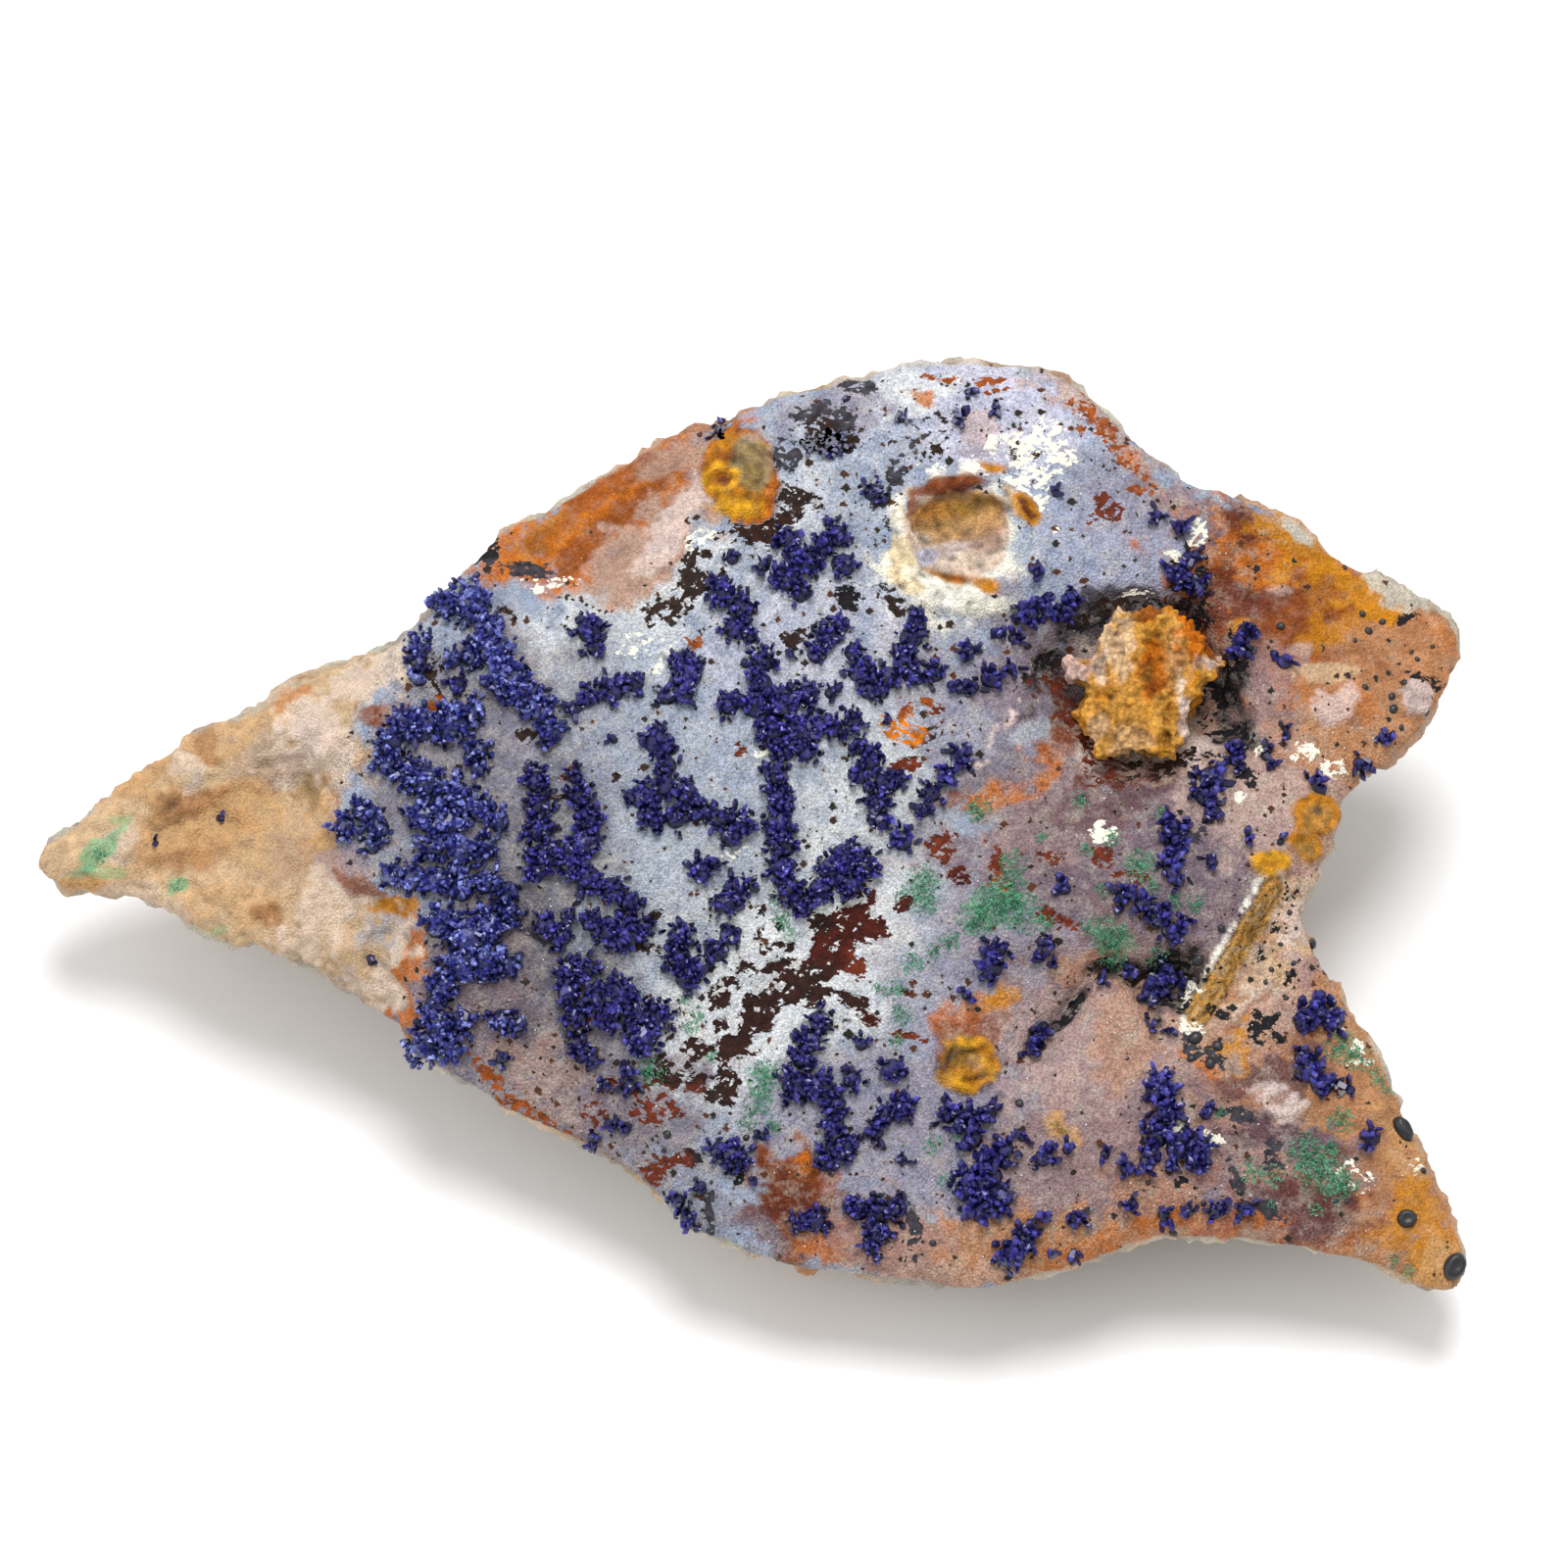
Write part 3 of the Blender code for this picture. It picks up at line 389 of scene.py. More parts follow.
    ("pale pink", 82.9, 41.2, 0.7, 0.5, 0, 0.7),
    # The yellow rings and the lower horn
    ("pale pink", 84.6, 57.4, 1.8, 2.4, 0, 0.6), ("cream", 81.6, 60.0, 2.0, 4.6, -30, 0.8),
    ("pink white", 82.4, 58.6, 0.9, 1.8, -20, 0.7), ("pink white", 79.8, 63.2, 0.8, 1.6, -30, 0.6),
    ("gold", 82.6, 62.6, 0.6, 0.9, 0, 0.7), ("gold", 80.4, 59.2, 0.4, 0.7, 0, 0.5),
    ("pale pink", 82.2, 63.6, 1.6, 2.4, -20, 0.7), ("pink tan", 78.6, 66.5, 2.6, 2.2, 0, 0.7),
    ("rust", 80.0, 63.6, 0.6, 2.4, -20, 0.6), ("gold", 79.2, 67.4, 0.6, 2.2, -15, 0.9),
    ("orange", 77.2, 68.2, 2.4, 0.5, -30, 0.8), ("plum", 81.5, 68.4, 4.6, 1.3, 12, 0.85),
    ("mauve", 84.8, 60.6, 1.6, 2.6, -20, 0.7), ("rust", 82.5, 66.2, 1.6, 0.7, 30, 0.5),
    ("horn tan", 87.5, 70, 1.8, 6.0, 26, 0.8), ("tan", 89.4, 72.6, 1.0, 3.0, 26, 0.6),
    ("mauve", 79.0, 73.0, 5.0, 2.2, 0, 0.7), ("dusk", 81.5, 72.4, 3.4, 1.1, 0, 0.8),
    ("pink white", 81.5, 70.1, 1.8, 1.0, 8, 0.9), ("rust", 81.3, 69.9, 0.9, 0.3, 30, 0.6),
    ("plum", 80.6, 72.3, 4.4, 0.9, 2, 0.85), ("dusk", 84.6, 73.6, 2.6, 1.8, 0, 0.6),
    ("rust", 83.4, 77.2, 6.0, 2.0, -16, 0.6), ("plum", 82.6, 76.8, 4.6, 1.5, -14, 0.85),
    ("dark rust", 84.6, 76.8, 3.8, 0.9, -18, 0.5), ("gold", 90.4, 78.4, 2.0, 3.6, 28, 0.8),
    ("amber", 89.0, 79.4, 2.4, 1.0, -20, 0.6), ("tan", 91.6, 81.0, 1.8, 1.8, 0, 0.7),
    ("dark rust", 85.2, 73.3, 0.9, 0.5, 0, 0.6), ("orange", 76.6, 77.8, 4.6, 1.1, 5, 0.6),
    # The gold nodule and the lower edge
    ("rust", 61.8, 65.9, 2.8, 1.0, 20, 0.7), ("tan", 67.5, 71.9, 1.4, 0.9, -20, 0.9),
    ("olive", 67.6, 72.0, 0.6, 0.5, 0, 0.7), ("horn tan", 64, 79.6, 12, 2.4, -3, 0.95),
    ("orange", 67, 80.9, 8, 0.7, -2, 0.4), ("orange", 71.5, 78.6, 4.5, 1.2, 18, 0.6),
    ("rust", 50.8, 75.8, 2.8, 2.2, 20, 1), ("orange", 51.5, 74.7, 1.2, 0.9, 0, 0.8),
    ("dark rust", 50.0, 76.0, 2.2, 1.6, 0, 0.75), ("dark rust", 50.0, 78.2, 3.4, 1.8, -20, 0.7),
    ("orange", 52.6, 79.0, 1.4, 1.2, 0, 0.7), ("rust", 53.9, 76.6, 1.0, 2.6, 10, 0.6),
    ("mauve", 56.5, 78.5, 3.6, 2.4, -5, 0.65), ("pink tan", 60.2, 81.0, 5.0, 1.0, 0, 0.8),
    # The bare quartz of the tail
    ("tan", 13.0, 52.4, 4.6, 2.2, 25, 0.7), ("tan", 17.2, 54.4, 3.0, 2.2, 0, 0.4),
    ("rust", 11.4, 51.2, 2.4, 1.0, 12, 0.4), ("rust", 12.6, 54.6, 2.6, 1.0, 10, 0.3),
    ("chestnut", 10.6, 51.2, 0.7, 0.5, 0, 0.6), ("rust", 13.3, 47.7, 0.7, 0.9, 0, 0.6),
    ("rust", 18.0, 49.4, 0.9, 0.8, 0, 0.55), ("rust", 17.0, 58.2, 1.0, 0.6, -20, 0.75),
    ("tan", 8.6, 50.4, 1.6, 2.0, 30, 0.6), ("orange", 18.6, 44.2, 1.6, 0.7, 40, 0.6),
    ("tan", 14.0, 47.0, 5.0, 1.0, 32, 0.4), ("tan", 20.2, 53.0, 0.8, 3.2, -8, 0.7),
    ("tan", 15, 57.6, 3.6, 1.2, -20, 0.4), ("gold", 4.8, 56.4, 1.8, 0.6, 0, 0.5),
    ("olive", 19.6, 50.5, 1.4, 1.0, 0, 0.45), ("warm grey", 16.6, 48.2, 1.8, 1.8, 0, 0.3),
    ("warm grey", 18.4, 55.0, 2.0, 2.2, 0, 0.25), ("bone", 20.2, 47.4, 2.8, 3.0, 0, 1),
    ("pink white", 19.8, 47.0, 1.4, 1.6, 0, 0.5), ("bone", 11.8, 49.2, 1.3, 1.0, 0, 0.8),
    ("bone", 21.0, 57.6, 2.0, 3.4, -30, 0.7), ("bone", 7.6, 53.9, 1.1, 0.9, 0, 0.7),
    ("bone", 24.0, 42.8, 3.6, 1.4, 30, 0.95), ("bone", 9.0, 57.6, 3.0, 0.9, -12, 0.5),
    ("mauve", 24.6, 45.8, 1.6, 1.4, 0, 0.7), ("rust", 23.7, 45.4, 1.0, 0.9, 0, 0.85),
    ("tan", 22.8, 48.6, 1.0, 1.6, 0, 0.7), ("mauve", 22.2, 54.6, 1.8, 1.6, 0, 0.7),
    ("rust", 23.0, 56.4, 1.6, 0.5, -30, 0.7), ("gold", 25.4, 57.8, 2.0, 0.5, 5, 0.95),
    ("orange", 26.5, 61.0, 0.6, 2.0, -10, 0.9), ("orange", 26.6, 64.8, 0.6, 2.2, 10, 0.85),
    ("bone", 24.9, 62.8, 1.2, 4.0, -12, 0.9), ("verdigris", 6.0, 54.6, 2.0, 0.55, 45, 0.7),
    ("verdigris", 5.6, 55.6, 1.8, 0.4, 0, 0.45), ("verdigris", 7.4, 52.4, 0.6, 0.4, 0, 0.5),
    ("verdigris", 11.2, 56.4, 0.8, 0.6, 0, 0.65), ("verdigris", 14.0, 59.2, 0.6, 0.35, 0, 0.4),
]

# Small forms with clear outlines, laid over the rest in the same way
INSETS = [
    # The amber eye: a lens with a ring left of its middle
    ("rust", 47.4, 30.2, 2.45, 3.25, 12, 1), ("orange", 47.3, 30.2, 2.3, 3.1, 12, 1),
    ("amber", 47.0, 30.4, 1.95, 2.8, 12, 1), ("honey grey", 47.9, 29.6, 1.5, 2.0, 12, 1),
    ("olive", 47.9, 30.4, 0.9, 0.9, 0, 0.5), ("cream", 49.1, 29.5, 0.22, 1.5, 0, 0.7),
    ("pale pink", 48.2, 27.7, 0.9, 0.3, 10, 0.5), ("bright gold", 46.0, 30.5, 1.05, 1.0, 0, 1),
    ("rust", 46.1, 30.45, 0.62, 0.6, 0, 0.85), ("gold", 46.1, 30.45, 0.5, 0.48, 0, 0.6),
    ("dark rust", 46.15, 30.5, 0.3, 0.3, 0, 1), ("rust", 46.2, 28.9, 0.8, 0.35, 0, 0.7),
    ("bright gold", 46.8, 32.4, 1.7, 0.5, -4, 0.9),
    # The crater: a crumbling rim about a gold and pale hollow
    ("peach", 57.5, 34.2, 0.75, 1.9, -4, 1), ("peach", 58.1, 36.7, 1.1, 1.3, 40, 1),
    ("chalk", 57.3, 33.2, 0.5, 1.0, 0, 0.9), ("chalk", 60.2, 38.0, 1.3, 0.5, -22, 1),
    ("chalk", 61.9, 38.7, 1.6, 0.62, -8, 1), ("chalk", 64.0, 38.7, 1.1, 0.5, 14, 1),
    ("bone", 61.1, 34.0, 3.3, 3.1, 0, 1), ("chalk", 60.0, 37.2, 2.2, 0.5, -18, 0.9),
    ("rust", 60.6, 30.9, 2.5, 0.55, 8, 1), ("dark rust", 61.6, 31.1, 1.2, 0.3, 8, 0.8),
    ("rust", 58.3, 32.4, 0.4, 1.2, 5, 0.9), ("tan", 61.2, 32.6, 2.9, 1.25, 8, 1),
    ("gold", 60.6, 32.4, 2.0, 0.5, 8, 0.6), ("olive", 62.2, 32.2, 1.6, 0.4, 8, 0.8),
    ("olive", 60.2, 33.2, 1.4, 0.3, 8, 0.5), ("tan", 61.6, 33.9, 2.4, 0.6, 12, 0.9),
    ("pink white", 60.8, 34.8, 2.0, 0.5, 8, 0.9), ("lavender", 59.2, 35.4, 0.9, 0.6, 0, 0.9),
    ("pink tan", 63.0, 34.6, 1.1, 0.6, 30, 0.8), ("bone", 61.9, 35.8, 1.4, 0.5, 0, 0.9),
    ("gold", 60.6, 36.6, 1.3, 0.3, -15, 1), ("gold", 63.0, 37.3, 1.0, 0.45, -20, 1),
    ("rust", 61.3, 36.7, 0.7, 0.18, -20, 0.8), ("cream", 64.7, 31.9, 0.6, 1.5, 30, 0.9),
    ("gold", 65.7, 32.4, 0.75, 1.35, 30, 1), ("dark rust", 65.7, 32.3, 0.3, 0.9, 30, 0.9),
    ("gold", 63.4, 29.7, 0.8, 0.38, -10, 1),
    # The gold nodule in folded layers, and the three yellow ones at the right edge
    ("chestnut", 61.7, 67.8, 2.0, 1.9, 0, 0.9), ("gold", 61.75, 67.7, 1.85, 1.75, 0, 1),
    ("olive", 61.1, 67.2, 1.1, 0.9, -20, 0.8), ("chestnut", 60.3, 67.7, 0.2, 0.9, -8, 0.8),
    ("bright gold", 61.5, 66.3, 1.2, 0.3, 5, 0.9), ("chestnut", 61.8, 66.8, 0.9, 0.13, 12, 0.8),
    ("tan", 62.4, 67.7, 0.7, 0.55, 0, 0.8), ("bright gold", 63.0, 68.1, 0.35, 0.9, 20, 0.9),
    ("chestnut", 62.2, 68.7, 0.9, 0.14, 14, 0.8), ("bright gold", 60.9, 69.0, 1.1, 0.4, -22, 0.9),
    ("gold", 83.9, 52.0, 1.55, 1.45, 0, 1), ("ochre", 83.9, 52.2, 0.9, 0.8, 0, 0.7),
    ("charcoal", 84.0, 52.0, 0.22, 0.4, 0, 0.8), ("gold", 83.2, 54.0, 1.2, 0.85, -20, 1),
    ("ochre", 83.2, 54.1, 0.7, 0.4, -20, 0.7), ("bright gold", 80.9, 55.0, 1.2, 0.72, 0, 1),
    ("rust", 80.9, 55.2, 0.6, 0.2, 0, 0.6), ("chalk", 81.5, 56.3, 0.35, 0.6, 20, 0.9),
    # A pale flake on the upper horn
    ("pink white", 90.5, 44.4, 1.0, 1.2, 0, 0.8),
]

# Where the crust has gaps and the darker rock shows, with ragged edges, in the same order of values
# About the limonite block these marks are partly painted shadow of the block as well as dark rock
GAPS_AND_SHADOWS = [
    ("red brown", 54.3, 58.8, 2.1, 1.2, 55, 1), ("red brown", 53.0, 60.9, 2.3, 1.3, 50, 1),
    ("dark rust", 54.4, 61.6, 1.1, 0.7, 0, 1), ("red brown", 51.6, 62.2, 1.6, 0.8, 40, 1),
    ("chestnut", 49.4, 63.4, 2.2, 1.0, 25, 1), ("chestnut", 48.1, 65.1, 1.3, 0.9, 45, 1),
    ("chestnut", 46.7, 66.8, 1.3, 0.7, 10, 1), ("chestnut", 46.2, 69.0, 0.7, 1.2, -20, 0.9),
    ("chestnut", 52.2, 63.5, 0.9, 0.5, 15, 1), ("chestnut", 54.2, 63.7, 0.9, 0.45, -15, 1),
    ("red brown", 56.0, 59.2, 0.6, 0.5, 0, 1), ("chestnut", 52.1, 58.8, 0.6, 0.5, 0, 0.95),
    ("chestnut", 50.2, 60.3, 0.65, 0.3, 10, 0.95), ("chestnut", 48.6, 59.6, 0.3, 0.6, -25, 0.9),
    ("chestnut", 49.0, 60.7, 0.4, 0.3, 0, 0.85), ("chestnut", 47.6, 61.8, 0.65, 0.4, -20, 0.95),
    ("chestnut", 49.5, 61.6, 0.85, 0.35, 25, 0.95), ("chestnut", 46.7, 62.6, 0.6, 0.35, -10, 0.9),
    ("chestnut", 46.1, 63.8, 0.6, 0.8, 10, 0.95), ("red brown", 55.3, 64.8, 0.6, 0.35, 0, 0.95),
    ("chestnut", 53.9, 64.9, 0.3, 0.3, 0, 0.8), ("red brown", 55.6, 57.3, 0.45, 0.4, 0, 0.9),
    ("chestnut", 45.9, 65.3, 0.25, 0.5, 0, 0.8), ("chestnut", 44.4, 66.8, 0.9, 0.6, 0, 0.85),
    ("dark brown", 43.6, 68.9, 1.4, 0.5, -20, 0.85), ("dark brown", 41.9, 65.9, 0.9, 0.8, 0, 0.75),
    ("red brown", 57.7, 57.6, 0.8, 0.4, 35, 0.95), ("red brown", 57.7, 63.2, 0.5, 0.25, 10, 0.8),
    ("red brown", 60.9, 55.9, 0.8, 0.5, -10, 0.9), ("chestnut", 48.5, 58.0, 0.4, 0.25, -20, 0.8),
    ("dark rust", 66.9, 54.7, 0.8, 0.5, -15, 0.85), ("dark rust", 70.5, 54.5, 0.7, 0.9, 25, 0.85),
    ("dark rust", 63.3, 54.6, 0.5, 1.2, 10, 0.85), ("dark rust", 60.0, 54.1, 0.8, 0.9, 30, 0.7),
    ("rust", 63.6, 56.3, 0.8, 0.4, 0, 0.7), ("dark rust", 72.0, 56.2, 1.2, 0.5, -20, 0.5),
    ("dark rust", 67.2, 58.6, 1.4, 0.6, -25, 0.6), ("dark rust", 57.8, 66.0, 1.2, 0.25, -10, 0.7),
    ("dark brown", 44.4, 36.4, 0.9, 1.7, -15, 0.95), ("dark brown", 42.9, 38.8, 1.7, 0.9, 10, 0.75),
    ("chestnut", 48.2, 33.5, 1.9, 1.0, 15, 1), ("chestnut", 50.0, 32.0, 0.7, 1.5, -15, 1),
    ("charcoal", 50.1, 28.8, 0.5, 1.6, 0, 0.9), ("rust", 43.9, 41.0, 0.9, 0.6, 0, 0.75),
    ("black", 31.0, 35.2, 1.1, 1.5, -30, 0.95), ("charcoal", 33.4, 36.4, 1.6, 0.5, 0, 0.8),
    ("charcoal", 52.6, 26.6, 2.2, 0.9, 10, 0.75), ("charcoal", 55.0, 24.4, 1.3, 0.6, 0, 0.85),
    ("dark brown", 53.4, 28.2, 1.3, 0.8, 0, 0.85), ("charcoal", 57.4, 29.4, 0.4, 2.2, -30, 0.7),
    ("charcoal", 56.6, 32.4, 0.35, 2.0, 5, 0.65), ("dark brown", 51.6, 31.8, 1.3, 0.5, -20, 0.6),
    ("charcoal", 56.6, 37.8, 0.9, 0.5, -30, 0.6), ("dark brown", 57.2, 38.8, 0.8, 0.6, -40, 0.75),
    ("black", 54.2, 38.3, 0.85, 0.85, 0, 1), ("dark brown", 50.9, 40.7, 0.8, 0.6, 0, 0.9),
    ("dark brown", 65.0, 28.6, 0.7, 0.7, -40, 0.85), ("dark brown", 66.4, 28.7, 0.4, 0.4, 0, 0.8),
    ("dark brown", 60.2, 27.2, 0.3, 1.6, -25, 0.6), ("rust", 69.6, 26.4, 2.0, 1.2, -45, 0.5),
    ("rust", 71.6, 28.6, 1.6, 0.7, -40, 0.48), ("rust", 59.8, 23.7, 1.2, 0.3, -10, 0.5),
    ("rust", 63.4, 24.1, 1.0, 0.5, 10, 0.5), ("rust", 73.2, 31.0, 0.9, 1.0, 0, 0.48),
    # The marks from the black one at 76.0, 36.4 to the black one at 77.2, 48.3 lie about the limonite block:
    # partly dark rock and partly painted shadow of the block, darkest on its right
    ("dark rust", 70.3, 32.2, 0.8, 0.9, 0, 0.75), ("black", 76.0, 36.4, 1.2, 2.0, 10, 0.5),
    ("black", 67.2, 43.2, 1.3, 1.7, 0, 0.55), ("black", 69.2, 39.6, 1.2, 0.9, 0, 0.55),
    ("dark brown", 71.6, 38.3, 2.4, 0.7, 5, 0.5), ("black", 76.2, 38.8, 1.3, 0.9, -20, 0.55),
    ("dark rust", 68.3, 45.0, 1.3, 1.4, 30, 0.5), ("dark brown", 72.0, 49.3, 2.6, 0.8, 8, 0.5),
    ("dark rust", 70.2, 48.0, 0.8, 1.2, 0, 0.75), ("dark brown", 74.6, 48.9, 1.8, 0.6, 15, 0.7),
    ("black", 78.6, 42.2, 0.7, 2.0, -20, 0.6), ("black", 77.6, 44.8, 0.9, 1.7, -35, 0.65),
    ("black", 79.0, 46.8, 1.2, 0.7, -30, 0.6), ("black", 79.6, 49.6, 0.6, 0.5, 0, 0.7),
    ("black", 77.2, 48.3, 0.6, 0.4, 0, 0.6), ("charcoal", 75.4, 53.4, 1.2, 0.6, 10, 0.6),
    ("black", 67.9, 64.7, 1.8, 0.3, 47, 0.75), ("black", 70.4, 61.8, 1.6, 0.5, 10, 0.5),
    # The black mark at 74.3, 62.6, where an azurite cluster stands, is partly dark rock and partly painted
    # shadow
    ("black", 74.3, 62.6, 1.7, 1.5, 0, 0.55), ("dark brown", 72.2, 62.4, 1.2, 0.4, -15, 0.8),
    ("black", 80.6, 65.7, 0.55, 0.95, -30, 0.95), ("black", 77.7, 64.5, 0.7, 0.35, -15, 0.9),
    ("charcoal", 76.1, 66.5, 0.55, 1.0, 10, 0.9), ("charcoal", 77.4, 67.4, 0.8, 0.6, -15, 0.85),
    ("black", 82.0, 57.2, 0.25, 0.6, -40, 0.6), ("black", 81.2, 59.0, 0.5, 0.3, 30, 0.8),
    ("black", 82.2, 62.4, 0.35, 0.6, -20, 0.75), ("black", 80.2, 60.9, 0.4, 0.4, 0, 0.7),
    ("charcoal", 81.1, 73.5, 0.7, 1.1, -25, 0.9), ("charcoal", 78.7, 74.9, 0.6, 1.0, 15, 0.9),
    ("charcoal", 80.7, 77.0, 0.9, 0.6, 0, 0.85), ("charcoal", 78.7, 70.9, 1.2, 0.5, -15, 0.9),
    ("black", 90.0, 39.5, 0.9, 0.4, 15, 0.8), ("black", 91.0, 43.3, 1.1, 0.45, -25, 0.9),
    ("charcoal", 78.0, 79.2, 0.5, 0.5, 0, 0.8), ("black", 75.0, 75.0, 0.5, 0.4, 0, 0.7),
    ("charcoal", 45.0, 77.2, 0.35, 1.3, 20, 0.95), ("black", 44.0, 73.8, 1.2, 0.45, 5, 0.85),
    ("dark rust", 42.0, 74.4, 1.2, 0.6, 20, 0.8), ("black", 47.4, 74.6, 0.6, 0.8, -30, 0.8),
    ("charcoal", 57.9, 77.7, 0.35, 1.6, -10, 0.9), ("charcoal", 55.9, 78.9, 0.4, 1.2, -20, 0.6),
    ("rust", 37.4, 64.6, 0.6, 0.9, -20, 0.75), ("dark rust", 39.5, 69.1, 1.4, 0.35, -20, 0.8),
    ("chestnut", 42.5, 68.6, 1.2, 1.0, 0, 0.5), ("dark rust", 42.0, 70.6, 1.6, 0.9, 0, 0.42),
    ("rust", 31.0, 68.2, 1.4, 0.5, -35, 0.7), ("rust", 33.6, 70.8, 1.8, 0.5, -32, 0.65),
    ("rust", 36.2, 72.4, 1.4, 0.4, -30, 0.6), ("dark rust", 37.6, 71.0, 0.9, 0.8, 0, 0.42),
    ("dark brown", 28.0, 44.0, 0.5, 1.8, 5, 0.55), ("rust", 28.2, 46.0, 1.6, 0.8, 0, 0.6),
    ("dark brown", 32.3, 39.2, 0.9, 0.3, -40, 0.7), ("dark brown", 35.6, 51.0, 1.2, 0.3, 0, 0.6),
    ("dark brown", 33.8, 47.0, 0.9, 0.4, -30, 0.65), ("charcoal", 34.6, 59.6, 1.2, 0.7, -30, 0.75),
    ("dark brown", 41.2, 60.4, 1.4, 0.45, -25, 0.7), ("dark brown", 42.0, 58.4, 0.5, 0.35, 0, 0.75),
    ("dark rust", 36.3, 49.5, 0.5, 0.4, 0, 0.8), ("dark brown", 39.4, 49.6, 0.35, 0.35, 0, 0.75),
    ("dark brown", 58.8, 46.9, 1.4, 0.45, 15, 0.75), ("dark rust", 57.7, 49.0, 1.0, 0.5, 25, 0.85),
    ("dark rust", 59.6, 45.2, 0.8, 0.4, 10, 0.75), ("orange", 57.1, 46.2, 1.0, 0.9, 0, 0.6),
    ("dark rust", 47.2, 47.9, 0.5, 0.35, 0, 0.8), ("rust", 58.6, 45.0, 0.9, 0.3, 20, 0.5),
]

# White powder and crumbs on the face: place, radii, turn, strength
POWDER = [
    (66.0, 29.4, 3.0, 2.3, -35, 0.62), (66.9, 27.8, 1.6, 1.0, 0, 0.6), (66.8, 32.6, 1.0, 1.4, 0, 0.5),
    (64.6, 30.4, 1.6, 0.7, 20, 0.8), (60.0, 29.6, 1.4, 0.6, 0, 0.5), (62.6, 30.0, 1.0, 0.4, 0, 0.8),
    (76.4, 33.6, 0.8, 0.9, 0, 0.75), (75.2, 35.4, 0.9, 0.3, -15, 0.75), (70.2, 53.2, 0.9, 0.7, 0, 0.95),
    (61.6, 74.8, 1.2, 0.9, -30, 0.85), (75.0, 72.2, 0.8, 0.9, 0, 0.7), (85.9, 74.9, 1.4, 1.0, -20, 0.5),
    (89.8, 74.4, 1.4, 0.45, 20, 0.5), (77.2, 72.6, 0.9, 0.8, 0, 0.6), (84.9, 65.2, 0.9, 0.5, -25, 0.8),
    (86.4, 67.4, 0.9, 1.0, 0, 0.5), (75.6, 62.8, 1.0, 0.7, 0, 0.5), (80.4, 48.0, 0.5, 0.35, 0, 0.75),
    (79.0, 50.9, 0.5, 0.3, 30, 0.8), (83.4, 47.8, 1.0, 0.9, 0, 0.5), (85.4, 49.2, 1.2, 1.0, 0, 0.5),
    (76.2, 65.6, 0.9, 0.6, 0, 0.7), (44.6, 34.4, 1.6, 0.5, 40, 0.5), (34.8, 37.2, 2.2, 0.5, 10, 0.5),
    (49.0, 48.0, 0.7, 0.6, 0, 0.6), (47.2, 54.0, 0.8, 1.2, 0, 0.35), (28.4, 50.6, 1.4, 1.2, 0, 0.35),
    (41.4, 41.4, 2.4, 1.2, 0, 0.35), (72.6, 37.8, 1.6, 0.3, 5, 0.7),
]

# Where small dark crystals are set in the crust: place, radii, turn, how many
SPECKS = [
    (50, 50, 60, 60, 0, 0.3), (48, 44, 20, 12, 30, 0.36), (50, 65, 12, 9, 0, 0.45),
    (63, 28, 11, 7, -10, 0.7), (55, 31, 6, 6, 0, 0.7), (40, 37, 6, 3, 20, 0.42), (37, 70, 9, 4, -35, 0.75),
    (62, 42, 7, 5, 0, 0.45), (42, 72, 6, 5, 0, 0.75), (76, 56, 10, 8, 0, 0.3), (82, 62, 3, 5, 0, 0.6),
    (88, 41, 6, 5, 0, 0.3), (50, 74, 8, 5, 0, 0.6), (47, 63, 6, 3, 30, 0.8), (78, 36, 2.5, 4, 0, 0.7),
    (71, 40, 6, 2, 0, 0.7), (38, 32, 8, 4, 37, 0.02), (42, 34, 5.5, 2.2, 47, 0.04),
    (47.2, 30.1, 2.6, 3, 15, 0.0), (61.4, 34.2, 4.4, 3.6, 10, 0.1), (61.6, 67.8, 1.8, 1.7, 0, 0.0),
    (83.8, 52, 2, 3.4, 0, 0.05), (88, 78, 6, 5, 0, 0.1), (70, 67, 5, 3.4, 0, 0.12),
    (85, 37, 6, 3, -30, 0.12),
]

# Clear waxy quartz, where little crust grew: place, radii, turn
WAXY_QUARTZ = [(88, 73, 4, 10, 26), (87, 40, 8, 7, -20), (38, 33, 9, 5, 40)]

# The slip's fibres, and the chalky line along its left side
SLIP_FIBRES = [(81.1, 56.7), (76.2, 64.7)]
CHALKY_LINE = [(80.1, 56.2), (77.8, 60.1), (75.2, 64.4), (75.8, 65.8)]

# Clouds of colour on the broken sides: colour, size, shift, contrast, level, strength
SIDE_CLOUDS = [
    ("tan", 7.0, 4.0, 2.4, 0.25, 0.6), ("bone", 5.0, 1.0, 2.5, -0.2, 0.5),
    ("warm grey", 4.0, 15.0, 2.5, -0.3, 0.45), ("orange", 8.0, 18.0, 3.0, -0.5, 0.5),
]

# How far the outlines of the patches wander
wander = 0.30 * broad + 0.30 * middling + 0.26 * fine + 0.16 * tiny
drift_x = 1.5 * lumps(rock_points, 2.4, 21.0) + 1.1 * lumps(rock_points, 1.0, 22.0) + 0.5 * tiny
drift_y = 1.5 * lumps(rock_points, 2.4, 31.0) + 1.1 * lumps(rock_points, 1.0, 32.0) + 0.5 * fine


def drawn_oval(centre_x, centre_y, long_radius, short_radius, turn):
    """An oval on the face whose outline drifts in and out, more so the larger it is."""
    drift = min(max(0.55 * short_radius, 0.12), 1.2)
    drawn_x, drawn_y = rock_x + drift * drift_x, rock_y + drift * drift_y
    return oval(drawn_x, drawn_y, centre_x, centre_y, long_radius, short_radius, turn)


